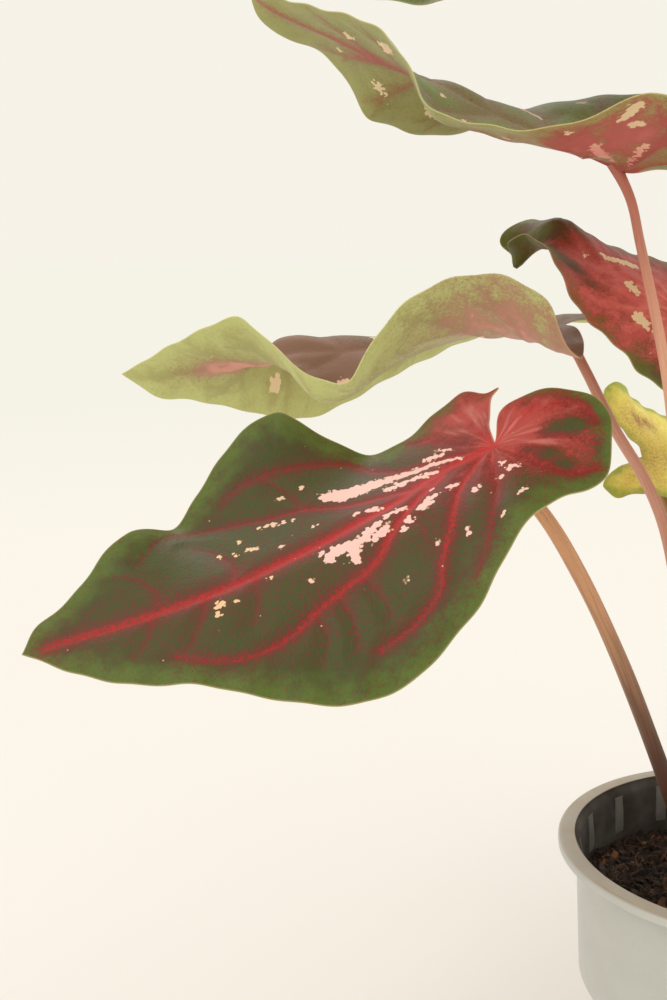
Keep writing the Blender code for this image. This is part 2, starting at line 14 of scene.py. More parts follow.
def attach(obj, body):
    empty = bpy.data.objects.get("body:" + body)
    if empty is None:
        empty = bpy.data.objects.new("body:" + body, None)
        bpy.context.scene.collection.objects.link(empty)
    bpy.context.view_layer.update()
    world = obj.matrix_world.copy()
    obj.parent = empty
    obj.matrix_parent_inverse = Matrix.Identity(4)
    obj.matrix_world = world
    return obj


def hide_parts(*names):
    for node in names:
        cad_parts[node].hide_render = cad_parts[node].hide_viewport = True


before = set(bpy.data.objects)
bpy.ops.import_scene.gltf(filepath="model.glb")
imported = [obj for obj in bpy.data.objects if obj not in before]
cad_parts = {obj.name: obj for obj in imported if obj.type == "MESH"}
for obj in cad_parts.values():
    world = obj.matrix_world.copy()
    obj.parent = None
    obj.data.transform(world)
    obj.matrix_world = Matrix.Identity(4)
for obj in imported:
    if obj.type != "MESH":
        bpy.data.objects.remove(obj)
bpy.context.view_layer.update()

MM = 0.001

# Pot and soil, in metres
POT_HEIGHT = 90 * MM
RIM_RADIUS = 60 * MM
RIM_INNER_RADIUS = 54.8 * MM
LIP_HEIGHT = 3 * MM
LIP_THICKNESS = 1.6 * MM
UNDER_LIP = POT_HEIGHT - LIP_HEIGHT
FLANGE_THICKNESS = 1.5 * MM
RIM_EDGE = 0.8 * MM
WALL_TOP_RADIUS = 54.6 * MM
WALL_STEP_RADIUS = 52.3 * MM
STEP_TOP = 46 * MM
STEP_BOTTOM = 40 * MM
STEP_RADIUS = 48.5 * MM
BASE_RADIUS = 43 * MM
WALL = 1.4 * MM
FLOOR = 2.2 * MM
BASE_EDGE = 1 * MM
POT_ROUNDING = 1.2 * MM
POT_SIDES = 160
DRAIN_COUNT = 8
DRAIN_RADIUS = 4.5 * MM
DRAIN_CIRCLE = 31 * MM
DRAIN_SIDES = 32
RIB_COUNT = 18
RIB_WIDTH = 4 * MM
RIB_DEPTH = 0.9 * MM
RIB_TOP = 87 * MM
RIB_BOTTOM = 75 * MM
SOIL_LEVEL = 71 * MM
SOIL_SHOULDER = 66 * MM
SOIL_GAP = 0.75 * MM
SOIL_LIFT = 0.3 * MM
SOIL_FALL = 0.05
SOIL_RINGS = 44
SOIL_SIDES = 200
CLOD_HEIGHT = 1.3 * MM
CRUMB_HEIGHT = 0.8 * MM
ROUGH_HEIGHT = 1.5 * MM
HEAP_SPOT = (-46 * MM, 6 * MM)
HEAP_WIDTH = 13 * MM
HEAP_HEIGHT = 5 * MM
TUBER_CENTRE = Vector((-1, 5, 50)) * MM
TUBER_RADIUS = 21 * MM
TUBER_HALF_HEIGHT = 10 * MM

# Loose crumbs and fibres: how many a square metre, and how large
CRUMB_DENSITY = 380000.0
CRUMB_SIZE = 1.2 * MM
FIBRE_DENSITY = 16000.0
FIBRE_LENGTH = 8 * MM

# Stalks, in metres
STALK_SIDES = 20
STALK_STEP = 1.5 * MM
FLARE = 0.6
FLARE_REACH = 4.5 * MM

# Camera and floor, in metres and degrees
CAMERA_SPOT = Vector((-128, -387, 273.6)) * MM
CAMERA_DIP = 11.5
LENS = 50
SENSOR_WIDTH = 36
FLOOR_REACH = 8
FLOOR_THICKNESS = 10 * MM
FLOOR_DROP = 0.4 * MM

# Blades, in millimetres
HALF_THICKNESS = 0.35
MARGIN_HALF_THICKNESS = 0.14
MARGIN_SLOPE = 0.06
FRONT_GRID = 0.75
LEAF_GRID = 1.25
SAME_SPOT = 0.8
SHEET_EASE = 2.0
SLOPE_STEP = 0.05
VEIN_REACH = 14
RIPPLE_HEIGHT = 0.35
RIPPLE_COUNT = 31
PUFF_HEIGHT = 0.55
GROOVE_DEPTH = 0.2
RIDGE_HEIGHT = 0.3
JOINT_RIDGE_HEIGHT = 0.6
SEAT_X = 3.2
SEAT_REACH = 14
SEAT_SINK = 0.25

# One entry a leaf: where the stalk meets it, the tip's heading, dip and the blade's roll in
# degrees, the two margins from the notch round the rear lobe to the tip, points on the
# midrib and on folds, and the stalk from the blade down to the tuber with its radii.
LEAVES = {
    "front": dict(
        joint=(-86.7, -31.4, 215.5), heading=190, dip=21.5, roll=-30,
        left=[(-1, -1, 0), (-6, -8, 2), (-15, -10, 3), (-27, -3, 3), (-30, 7, 2), (-26, 16, 1),
              (-19, 26, 0), (-9, 30, 4), (3, 35, 9), (12, 39, 6), (24, 47, 1), (34, 50, -4),
              (47, 54, -7), (61, 53, -7), (78, 44, -4), (92, 34, -1), (106, 27, 0),
              (118, 17, 0), (131, 2, 0)],
        right=[(-1, -1, 0), (-3, -9, 0), (-8, -18, -1), (-11, -21, -1), (-8, -24, -4),
               (-3, -30, -6), (7, -28, -8), (19, -25, -10), (27, -28, -12), (34, -33, -8),
               (42, -41, -1), (46, -45, 1), (57, -44, 0), (66, -39, -2), (76, -32, -5),
               (85, -25, -6), (95, -22, 2), (102, -19, 2), (116, -9, 0), (125, -5, 0),
               (131, 2, 0)],
        inner=[(17, 4, 0), (40, 7, -1), (63, 9, -1), (85, 9, 0), (106, 7, 0), (124, 4, 0)],
        stalk=[(-73.6, -28.8, 198), (-61.5, -23.5, 179), (-48.4, -17.6, 153), (-34.2, -11.1, 119.6),
               (-23.3, -7.6, 91.6), (-17.5, -5.5, 74), (-14, -4, 50)], radii=(2.0, 2.3, 2.8)),
    "top": dict(
        joint=(-45.4, 18.9, 287.4), heading=166.5, dip=-25.2, roll=0,
        left=[(-3, 2, 0), (-7, 6, 3), (-13, 9, 7), (-26, 12, 11), (-35, 22, 13), (-33, 34, 16),
              (-24, 43, 19), (-12, 48, 20), (0, 50, 18), (14, 49, 4), (28, 47, -4), (40, 44, -7),
              (50, 41, -8), (58, 38, -3), (66, 35, 2), (76, 30, 5), (90, 22, 4), (104, 14, 2),
              (116, 6, 1), (123, 0, 0)],
        right=[(-3, -2, 0), (-8, -4, 3), (-15, -8, 7), (-26, -12, 12), (-34, -22, 16),
               (-32, -34, 19), (-20, -45, 22), (-6, -50, 24), (8, -50, 23), (24, -49, 14),
               (38, -46, 4), (50, -43, -8), (64, -38, -17), (72, -34, -18), (80, -29, -19),
               (92, -22, -10), (104, -15, -7), (113, -11, -8), (119, -6, -5), (123, 0, 0)],
        inner=[(20, 0, -1), (45, 0, -2), (70, 0, -2), (95, 0, -2), (112, 0, -2),
               (50, 33, -10), (40, 36, -8), (28, 36, -5), (14, 30, -2), (58, -14, 0),
               (45, -16, 1), (32, -20, 3)],
        stalk=[(-43.4, 17.6, 278.6), (-40.4, 16.7, 266.6), (-34.4, 13.5, 240.6), (-31.8, 12.4, 228),
               (-26, 10, 190), (-19, 7, 140), (-13, 5, 95), (-10.5, 4.5, 74), (-9, 4, 50)],
        radii=(1.3, 1.9, 2.6)),
    "left": dict(
        joint=(-55.6, 65.3, 239.4), heading=176.4, dip=6.6, roll=0,
        left=[(-3, 2, 0), (-6, 10, -2), (-6, 20, -5), (-4, 29, -8), (0, 35, -5), (3, 42, 3),
              (7, 48, 12), (16, 49, 19), (32, 48, 21), (46, 46, 16), (58, 43, 5), (66, 40, -6),
              (74, 37, -6), (82, 34, -1), (90, 31, 7), (98, 27, 15), (108, 22, 14), (122, 14, 9),
              (134, 6, 4), (144, 0, 0)],
        right=[(-3, -2, 0), (-14, -8, 0), (-26, -14, -2), (-32, -24, -4), (-30, -36, -5),
               (-20, -45, -4), (-6, -49, -4), (10, -50, -4), (28, -48, -6), (44, -45, -11),
               (58, -42, -16), (72, -38, -22), (86, -34, -26), (98, -28, -24), (112, -21, -18),
               (124, -14, -13), (136, -6, -9), (144, 0, 0)],
        inner=[(20, 0, 0), (45, 0, -1), (70, 0, -1), (95, 0, -2), (112, 0, -2), (130, 0, -2),
               (92, -10, 4), (84, -14, 3), (66, -14, 2), (78, 28, -12), (66, 32, -10)],
        stalk=[(-50.5, 63, 232), (-47, 59.4, 225.6), (-38.2, 51.6, 207.3), (-29.6, 44.5, 192.4),
               (-23.9, 38.4, 177.6), (-19, 31, 150), (-14, 23.5, 115), (-9.5, 15.5, 78),
               (-8, 13, 50)], radii=(1.6, 2.0, 2.6)),
    "red": dict(
        joint=(-15.9, 40.3, 242.2), heading=165, dip=-25, roll=-40,
        left=[(-3, 2, 0), (-14, 8, 1), (-24, 14, 2), (-27, 24, 2), (-20, 32, 1), (-8, 33, 0),
              (3, 31, 0), (9, 30, 0), (15, 26, 0), (22, 24, 1), (30, 21, 1), (37, 18, 3),
              (44, 14, 7), (52, 9, 9), (59, 6, 7), (64, 2, -3), (62, -4, -14), (59, -7, -20)],
        right=[(-3, -2, 0), (-14, -8, 0), (-26, -14, 0), (-28, -24, -3), (-20, -33, -8),
               (-6, -35, -12), (6, -34, -14), (18, -32, -13), (31, -28, -13), (45, -25, -11),
               (56, -23, -11), (67, -19, -14), (69, -12, -18), (59, -7, -20)],
        inner=[(20, -2, 0), (38, -3, 0), (50, -4, 0), (58, -8, -5)],
        stalk=[(-13.2, 38.5, 228), (-9, 32, 190), (-5, 24, 150), (-1.5, 16.5, 110),
               (0.5, 11, 78), (1, 8.5, 50)], radii=(1.5, 1.9, 2.6)),
    "small": dict(
        joint=(-14.8, 106.4, 190.8), heading=20, dip=5, roll=48,
        left=[(-3, 2, 0), (-8, 10, 0), (-12, 20, 0), (-9, 28, 0), (-2, 31, 0), (5, 30, -6),
              (13, 29, -11), (23, 26, -13), (34, 21, -12), (46, 14, -9), (58, 7, -6), (70, 0, -5)],
        right=[(-3, -2, 0), (-10, -5, 0), (-18, -9, 0), (-23, -15, 0), (-20, -20, 1),
               (-12, -20, 4), (-2, -24, 8), (8, -27, 10), (20, -26, 8), (34, -20, 4),
               (46, -13, 0), (58, -7, -3), (70, 0, -5)],
        inner=[(20, 0, -1), (40, 0, -2), (56, 0, -3)],
        stalk=[(-12, 97, 180), (-6, 82, 158), (0, 62, 130), (2, 42, 104), (1.5, 28, 84),
               (1, 20.5, 71), (0, 17, 50)], radii=(1.3, 1.7, 2.3)),
    "upper": dict(
        joint=(-8, 62, 352), heading=190, dip=6, roll=0,
        left=[(-3, 2, 0), (-14, 8, 2), (-26, 13, 4), (-33, 23, 4), (-29, 35, 2), (-16, 43, 0),
              (0, 46, -3), (16, 46, -2), (32, 42, 2), (48, 37, 3), (64, 30, 0), (80, 21, -4),
              (90, 16, -7), (97, 12, -8), (106, 7, -6), (118, 0, -2)],
        right=[(-3, -2, 0), (-14, -8, 2), (-26, -13, 4), (-33, -23, 4), (-29, -35, 2),
               (-16, -43, 4), (0, -46, 8), (16, -46, 4), (32, -42, -3), (48, -37, -2),
               (64, -30, 4), (80, -21, 4), (94, -14, 0), (107, -6, -1), (118, 0, -2)],
        inner=[(20, 0, -1), (40, 0, -1), (60, 0, -1), (80, 0, -1), (100, 0, -2)],
        stalk=[(-7, 62.5, 340), (4, 64, 314), (18, 60, 262), (24, 50, 210), (20, 36, 150),
               (13, 23, 100), (9, 16, 74), (8, 14, 50)], radii=(1.4, 2.0, 2.7)),
    "right_front": dict(
        joint=(62, -38, 205), heading=-28, dip=20, roll=14,
        left=[(-3, 2, 0), (-14, 9, 2), (-27, 15, 3), (-34, 26, 4), (-29, 38, 3), (-16, 46, 0),
              (0, 49, -4), (16, 48, -5), (32, 45, -1), (48, 38, 5), (64, 30, 4), (80, 22, -1),
              (94, 14, -2), (107, 6, 0), (118, 0, 0)],
        right=[(-3, -2, 0), (-14, -9, 3), (-27, -14, 5), (-35, -25, 4), (-31, -38, 0),
               (-18, -47, -5), (-2, -50, -8), (14, -49, -5), (30, -46, 1), (46, -40, 4),
               (62, -31, 0), (78, -23, -5), (92, -14, -3), (106, -6, -1), (118, 0, 0)],
        inner=[(20, 0, -1), (45, 0, -1), (70, 0, -1), (95, 0, -1)],
        stalk=[(57, -34.5, 196), (47, -28, 180), (33, -19, 148), (19, -10, 106), (11, -5.5, 78),
               (6, -4, 50)], radii=(1.9, 2.2, 2.7)),
    "right_back": dict(
        joint=(84, 40, 246), heading=30, dip=6, roll=-10,
        left=[(-3, 2, 0), (-15, 9, 3), (-28, 14, 5), (-36, 26, 4), (-31, 40, 0), (-17, 48, -5),
              (0, 52, -7), (17, 51, -3), (34, 47, 4), (50, 41, 6), (66, 33, 1), (82, 24, -5),
              (98, 15, -4), (112, 7, -1), (126, 0, -1)],
        right=[(-3, -2, 0), (-15, -9, 2), (-28, -15, 2), (-36, -27, 0), (-30, -40, -2),
               (-16, -48, 0), (2, -51, 5), (18, -50, 6), (34, -46, 1), (50, -40, -5),
               (66, -32, -5), (82, -23, 1), (98, -14, 3), (112, -7, 0), (126, 0, -1)],
        inner=[(20, 0, -1), (45, 0, -1), (70, 0, -1), (95, 0, -2), (112, 0, -2)],
        stalk=[(81, 38, 233), (71, 33, 210), (51, 23, 168), (31, 13, 120), (18, 6, 84),
               (13.5, 4.5, 70), (11, 4, 50)], radii=(1.5, 2.0, 2.6)),
}

# Veins of the front blade as measured: points, how wide its red spreads at each end, and how
# strong the red is at each end.
FRONT_VEINS = [
    ([(0, 0), (7, 0), (15, .5), (22, 2), (28, 4), (40, 5.6), (52, 7), (63, 8), (74, 9), (85, 9.2),
      (95, 8.4), (106, 7), (116, 5), (125, 4)], (4.7, 2.9), (1.25, 1.0)),
    ([(1, 1), (13, -6), (23, -11), (29, -18), (34, -25), (40, -26.5), (49, -27.5), (58, -28.5),
      (65, -28), (70, -26)], (2.6, 1.7), (1, .65)),
    ([(19, 4), (32, -1.5), (42, -5.5), (51, -10.5), (60, -12.5), (73, -17.5), (85, -21)],
     (2.6, 1.3), (1.1, .65)),
    ([(51, -10.5), (53, -20), (58, -28)], (1.2, 1.0), (.6, .4)),
    ([(77, 9), (74, 3), (76, -3.5), (79, -9), (83, -13)], (2.0, 1.0), (.8, .4)),
    ([(94, 8), (95.5, -1.5), (99.5, -7), (103, -9.5)], (1.3, .8), (.75, .4)),
    ([(86, -21), (92, -15), (96, -10.5)], (1.4, 1.0), (.5, .35)),
    ([(16, 3), (27.5, 10), (33.5, 14.5), (42, 22), (49.5, 24), (59, 27), (67, 30.5), (74, 32),
      (81, 31.5), (90, 27.5), (95, 24)], (3.2, 1.8), (1.2, .8)),
    ([(4, 2), (14, 12.5), (22, 25), (27, 31.5), (31, 38), (37, 41), (43, 42.5), (50, 43.5)],
     (3.0, 1.7), (1.1, .85)),
    ([(2, 4), (7, 20), (12.5, 29.5), (16.5, 35), (22, 40.5)], (2.6, 1.5), (.95, .65)),
    ([(0, 1), (-4, 9), (-7, 17), (-12, 22), (-19, 22)], (2.6, 2.0), (.9, .8)),
    ([(-1, 0), (-7.5, -2), (-15, -3.5), (-24, 1), (-26, 9)], (2.8, 2.4), (1.1, .8)),
    ([(0, 1), (-10, 6), (-18, 11), (-23, 15)], (1.8, 1.5), (.8, .5)),
    ([(0, -1), (1, -10), (0, -20), (-4, -26)], (3.0, 2.2), (1.05, .7)),
    ([(1, 0), (8, -10), (12, -18), (17, -23)], (2.0, 1.6), (.85, .55)),
    ([(83, 10), (86, 16), (89.5, 21), (93, 24)], (1.0, .8), (.75, .45)),
    ([(97, 8), (100, 15), (105, 19.5)], (.9, .8), (.6, .35)),
    ([(70, 9), (71, 16), (75, 24)], (1.0, .8), (.6, .35)),
    ([(45.5, 23), (43.5, 32), (43.5, 37)], (1.1, .8), (.65, .4)),
    ([(53, 25), (52.5, 34), (54.5, 40.5)], (1.1, .8), (.6, .4)),
    ([(30, 12), (27, 20), (29, 27)], (1.1, .8), (.5, .3)),
    ([(60, 27), (60, 35), (64, 41)], (1.0, .8), (.5, .3)),
]

# Blotches of each blade: strokes of (x, y, radius), or one point for a round spot.
BLOTCHES = {
    "front": [
        [(44.5, -12.5, 1.8), (40, -10.8, 3.0), (36, -10.2, 2.8), (31.5, -9.9, 2.7),
         (27, -8.9, 2.2)],
        [(27, -8.9, 2.1), (22, -7.4, 2.0), (17.5, -6.2, 1.6), (12.8, -4.5, 1.1), (9, -2.2, .5)],
        [(29, -4, .9), (24, -2.9, 1.1), (19.7, -1.6, .9), (15.5, -.9, .5)],
        [(11.5, -10.6, .7), (8.5, -8, .5)], [(16, -9.8, .7), (11.5, -8, .6)],
        [(39.5, 1.4, .6), (34, 3.3, .8)], [(33.5, 8.3, .5), (28.5, 8.6, .5)],
        [(51, 14, 1.3), (48.8, 12.2, 1.8), (44.8, 13, 1.9), (41, 12.8, 1.6), (37.9, 10.6, 1.1),
         (34, 9.2, .7)],
        [(45, 18, 1.2), (44.8, 13, 1.4)], [(39, 15, .9), (34.5, 12.4, 1.0)],
        [(24, 12, 1.9), (21, 10.8, 1.4)], [(29, 14, 1.3)], [(31.3, 16.3, .8)],
        [(17, 9.8, .8), (14, 10.5, .5)], [(20, 6.8, .4)], [(12, 17, 1.0), (10.5, 16.4, .7)],
        [(1.2, 9.7, .7)], [(.6, 13.6, 1.0), (-1.4, 13.8, .6)], [(3.8, 15.5, .7)],
        [(3.4, 25.9, .6), (1.6, 25.4, .4)], [(18.7, 29, .9)], [(9.7, 30.4, .5)], [(26, 26.5, .5)],
        [(37, 30.6, .4)], [(48.3, -19.7, .6)], [(55, -18.3, .7)],
        [(63.5, -10.2, .5), (55, -7.4, .6)], [(60, -9.3, .8)], [(70, -7, .6)],
        [(68.6, -1.8, .6), (66.5, -1.2, .5)], [(72.3, -2.6, .6)],
        [(76, -5, .5)], [(52.6, 11.2, 1.1)], [(50.7, -.4, .5)], [(60.3, 2, .5)], [(66.4, 12.3, .7)],
        [(57.6, 18.2, .4)], [(80.3, 14.3, 1.3)], [(76.4, 15.3, .7)], [(82, 16.9, .7)]],
    "top": [
        [(86, 10, 1.6)], [(73, 20, 2.2), (71, 23, 1.2)], [(79, -16, 1.4), (76, -19, .9)],
        [(62, -26, 2.0), (57, -29, 1.2)], [(2, 46, 1.6), (4, 41, .9)], [(0, 38, 1.4)],
        [(15, 43, 1.2)], [(44, 18, 1.0)], [(30, -16, 1.4), (38, -20, 1.0)], [(54, 12, 1.2)],
        [(22, -38, 1.4)], [(30, 30, 1.1)], [(92, -8, .9)],
        [(2.6, 9, .2), (4.6, 16, .9), (7, 25, 1.7), (8, 30, 1.1)],
        [(5.4, 8, .1), (10, 15, .6), (15, 23, 1.2), (19, 29, .8)],
        [(-.6, 10, .1), (-2, 18, .7), (-3.4, 27, 1.3)]],
    "left": [
        [(96, -21, 1.8)], [(70, 14, 1.6)], [(44, -20, 1.8), (38, -22, 1.2)], [(26, 18, 1.4)],
        [(60, -8, 1.2)], [(18, -30, 1.6)], [(112, 8, .9)]],
    "red": [
        [(36, -9, 1.2), (30, -11.5, 1.6), (26, -13.6, 1.3)], [(24, -1, 1.8), (21, 1, 1.0)],
        [(17, 10, 2.0), (13, 12, 1.3)], [(41, -4, .8)], [(8, -18, 1.2)], [(-6, 12, 1.4)]],
    "small": [[(30, 12, 1.4)], [(14, -10, 1.2)]],
    "upper": [[(30, 8, 2.0), (36, 10, 1.2)], [(44, -12, 1.8)], [(18, 16, 1.4)], [(60, 6, 1.2)],
              [(24, -18, 1.6), (30, -20, 1.0)], [(72, -4, 1.0)]],
    "right_front": [[(28, 9, 2.2), (36, 11, 1.4)], [(22, -8, 2.0), (34, -12, 1.2)],
                    [(50, 14, 1.4)], [(58, -10, 1.6), (63, -12, 1.0)], [(40, -24, 1.4)],
                    [(12, 22, 1.2)], [(74, 6, .9)], [(70, 14, .8)], [(84, -5, .8)]],
    "right_back": [[(26, -9, 2.0), (34, -11, 1.4)], [(40, 10, 2.0), (47, 12, 1.2)],
                   [(18, 14, 1.4)], [(62, 8, 1.4)], [(56, -18, 1.6)], [(78, -6, 1.0)],
                   [(20, -30, 1.2)], [(88, 8, .8)]],
}

# Red or dark areas of each blade: x, y, radius along x, radius along y, and strength, which is
# negative where the area stays green.
FIELDS = {
    "front": [(-4, -14, 9, 16, 1.0), (6, -20, 12, 7, .7), (-14, 8, 13, 17, 1.05),
              (-9, -1, 8, 4, .6), (8, 6, 16, 12, .4), (40, 4, 26, 8, .12),
              (-15, 6, 4.5, 2.8, -1.15), (-20, 8, 3.4, 2.4, -1.0), (-9.5, 13, 4, 2.8, -1.05),
              (-11, 18.5, 3.2, 2.2, -.95), (-6, 9, 2.2, 1.6, -.8), (-30, 2, 2.6, 7, -1.0),
              (-29, 11, 3, 6, -1.1), (-24, 20, 3.5, 5, -1.0), (-15, 28, 6, 3.5, -.9)],
    "top": [(6, 34, 20, 16, 1.0), (4, -20, 20, 22, .9), (60, 0, 50, 5, .4)],
    "left": [(12, 30, 34, 24, 1.15), (14, -14, 28, 24, .7), (97, 0, 20, 6.5, 2.8),
             (72, 8, 16, 16, .9)],
    "red": [(18, 2, 34, 24, 1.1), (56, -12, 8, 8, -1.0), (44, 6, 16, 3, -.9), (2, 30, 12, 4, -.9)],
    "small": [(4, 16, 8, 5, .9), (-2, -8, 16, 9, .35)],
    "upper": [(4, 0, 28, 26, .9), (50, 0, 40, 8, .5)],
    "right_front": [(-8, 14, 18, 20, .9), (-8, -16, 18, 20, .9), (40, 0, 36, 8, .5)],
    "right_back": [(-6, 0, 22, 36, .9), (44, 0, 40, 8, .5)],
}


# Shapes
def smooth_curve(points, steps=10):
    """A curve through the points, with its speed set by their spacing."""
    p = np.asarray(points, float)
    spans = np.sqrt(np.linalg.norm(np.diff(p, axis=0), axis=1))
    slope = np.diff(p, axis=0) / spans[:, None]
    inner = (slope[:-1] * spans[1:, None] + slope[1:] * spans[:-1, None])
    inner /= (spans[:-1] + spans[1:])[:, None]
    tangent = np.vstack([slope[:1], inner, slope[-1:]])
    u = np.linspace(0, 1, steps, endpoint=False)[:, None]
    rows = []
    for i, span in enumerate(spans):
        rows.append((2 * u**3 - 3 * u**2 + 1) * p[i] + (u**3 - 2 * u**2 + u) * span * tangent[i]
                    + (3 * u**2 - 2 * u**3) * p[i + 1] + (u**3 - u**2) * span * tangent[i + 1])
    rows.append(p[-1:])
    return np.concatenate(rows)


def evenly(curve, step):
    """The curve's points again, at even steps along it."""
    lengths = np.r_[0, np.cumsum(np.linalg.norm(np.diff(curve, axis=0), axis=1))]
    count = max(3, int(round(lengths[-1] / step)) + 1)
    marks = np.linspace(0, lengths[-1], count)
    return np.stack([np.interp(marks, lengths, column) for column in curve.T], axis=1)


def leaf_frame(leaf):
    """Where the blade's own frame stands on the plant."""
    turn = Matrix.Rotation(math.radians(leaf["heading"]), 4, "Z")
    tilt = Matrix.Rotation(math.radians(leaf["dip"]), 4, "Y")
    roll = Matrix.Rotation(math.radians(leaf["roll"]), 4, "X")
    return Matrix.Translation(Vector(leaf["joint"]) * MM) @ turn @ tilt @ roll


def bend(distance):
    """The bending of a thin sheet at a distance from a point that holds it."""
    safe = np.maximum(distance, 1e-9)
    return np.where(distance > 0, distance**2 * np.log(safe), 0.0)


class Sheet:
    """The surface of a thin sheet held at a leaf's margin, midrib and folds."""

    def __init__(self, leaf):
        held = [(0, 0, 0)]
        for point in leaf["left"] + leaf["right"] + leaf["inner"]:
            if all(math.hypot(point[0] - h[0], point[1] - h[1]) > SAME_SPOT for h in held):
                held.append(point)
        held = np.asarray(held, float)
        self.points = held[:, :2]
        count = len(held)
        between = np.linalg.norm(self.points[:, None] - self.points[None], axis=2)
        plane = np.c_[np.ones(count), self.points]
        system = np.block([[bend(between) + SHEET_EASE * np.eye(count), plane],
                           [plane.T, np.zeros((3, 3))]])
        self.weights = np.linalg.solve(system, np.r_[held[:, 2], 0, 0, 0])

    def height(self, xy):
        """The sheet's height over points of the blade's plane."""
        xy = np.asarray(xy, float)
        away = np.linalg.norm(xy[:, None] - self.points[None], axis=2)
        return bend(away) @ self.weights[:-3] + self.weights[-3] + xy @ self.weights[-2:]

    def normals(self, xy):
        """The sheet's directions outward, from its slopes both ways."""
        dx, dy = ((self.height(xy + way) - self.height(xy - way)) / (2 * SLOPE_STEP)
                  for way in SLOPE_STEP * np.eye(2))
        normal = np.stack([-dx, -dy, np.ones(len(xy))], axis=1)
        return normal / np.linalg.norm(normal, axis=1)[:, None]


def outline(leaf, step):
    """The blade's outline in its own plane, anticlockwise and without a doubled point."""
    left = evenly(smooth_curve(leaf["left"])[:, :2], step)
    right = evenly(smooth_curve(leaf["right"])[:, :2], step)
    notch = [] if np.allclose(left[0], right[0]) else [right[0]]
    return np.array([*right[1:], *left[::-1][1:], *notch])


def near_line(points, line):
    """How far each point is from the line, and how far along it its nearest spot lies."""
    start, side = line[:-1], np.diff(line, axis=0)
    span = np.maximum(np.linalg.norm(side, axis=1), 1e-9)
    marks = np.r_[0, np.cumsum(span)]
    nearest = np.full(len(points), np.inf)
    share = np.zeros(len(points))
    for i in range(len(side)):
        along = np.clip((points - start[i]) @ side[i] / span[i]**2, 0, 1)
        away = np.linalg.norm(points - start[i] - along[:, None] * side[i], axis=1)
        closer = away < nearest
        nearest[closer] = away[closer]
        share[closer] = (marks[i] + along[closer] * span[i]) / marks[-1]
    return nearest, share


def near_vein(points, line, reach):
    """As near_line, worked out only for the points within reach of the line's box."""
    low, high = line.min(axis=0) - reach, line.max(axis=0) + reach
    close = np.all((points > low) & (points < high), axis=1)
    away = np.full(len(points), 99.0)
    along = np.zeros(len(points))
    away[close], along[close] = near_line(points[close], line)
    return away, along


def within(points, ring):
    """Which points lie inside the ring."""
    odd = np.zeros(len(points), bool)
    for a, b in zip(ring, np.roll(ring, -1, axis=0)):
        if a[1] == b[1]:
            continue
        crosses = (a[1] > points[:, 1]) != (b[1] > points[:, 1])
        reach = a[0] + (points[:, 1] - a[1]) * (b[0] - a[0]) / (b[1] - a[1])
        odd ^= crosses & (points[:, 0] < reach)
    return odd


def midrib(leaf):
    """The midrib's line from the joint to the tip."""
    tip = leaf["left"][-1]
    middle = sorted(p[:2] for p in leaf["inner"] if abs(p[1]) < 9 and p[0] < tip[0] - 4)
    return smooth_curve([(0, 0), *middle, tip[:2]], 6)


def ruled_veins(leaf):
    """Midrib, side veins arching to the margin, and their branches, by one rule."""
    spine = midrib(leaf)
    veins = [(spine, (3.4, 1.2), (1.1, .8))]
    spine = evenly(spine, 1.0)
    shares = [(.10, .0), (.24, .0), (.36, .02), (.48, .09), (.59, .2), (.69, .33), (.79, .48),
              (.88, .63)]
    for side in ("left", "right"):
        margin = evenly(smooth_curve(leaf[side])[:, :2], 1.0)
        turn = 1 if side == "left" else -1
        for k, (reach, leave) in enumerate(shares):
            start = spine[int(leave * len(spine))]
            goal = start + 0.94 * (margin[int(reach * len(margin))] - start)
            back = -0.1 * np.linalg.norm(goal - start)
            control = start + 0.55 * (goal - start) + [back if k > 1 else 0, turn * 2.0]
            u = np.linspace(0, 1, 14)[:, None]
            line = (1 - u)**2 * start + 2 * u * (1 - u) * control + u**2 * goal
            veins.append((line, (2.6, 1.1), (1.0, .45)))
            for j, part in enumerate((4, 7, 10)):
                ahead = line[part + 1] - line[part]
                swing = math.radians(48 if (j + k) % 2 else -48)
                way = np.array([ahead[0] * math.cos(swing) - ahead[1] * math.sin(swing),
                                ahead[0] * math.sin(swing) + ahead[1] * math.cos(swing)])
                twig = [line[part] + way * s for s in (0, 1.2, 2.4)]
                twig[2] = twig[2] + 0.7 * ahead
                veins.append((smooth_curve(twig, 4), (1.0, .7), (.55, .3)))
    return veins


def leaf_veins(name, leaf):
    if name != "front":
        return ruled_veins(leaf)
    return [(smooth_curve(points, 5), spread, red) for points, spread, red in FRONT_VEINS]


def triangulate(ring, veins, grid):
    """Points and triangles of the flat blade, with points along each vein."""
    low, high = ring.min(axis=0), ring.max(axis=0)
    rows = np.arange(low[1], high[1], grid * math.sqrt(3) / 2)
    field = np.array([(x + grid / 2 * (i % 2), y) for i, y in enumerate(rows)
                      for x in np.arange(low[0], high[0], grid)])
    kept = np.zeros((0, 2))
    for line, _, _ in veins:
        rib = evenly(line, grid)
        if len(kept):
            apart = np.linalg.norm(rib[:, None] - kept[None], axis=2).min(axis=1)
            rib = rib[apart > 0.6 * grid]
        kept = np.vstack([kept, rib])
        field = field[near_vein(field, line, grid)[0] > 0.5 * grid]
    field = np.vstack([field, kept])
    field = field[within(field, ring)]
    field = field[near_line(field, np.vstack([ring, ring[:1]]))[0] > 0.55 * grid]
    flat = [Vector(p) for p in [*ring.tolist(), *field.tolist()]]
    edges = [(i, (i + 1) % len(ring)) for i in range(len(ring))]
    points, _, faces, _, _, _ = delaunay_2d_cdt(flat, edges, [], 1, 1e-6)
    return np.array([tuple(p) for p in points]), np.array([tuple(f) for f in faces])


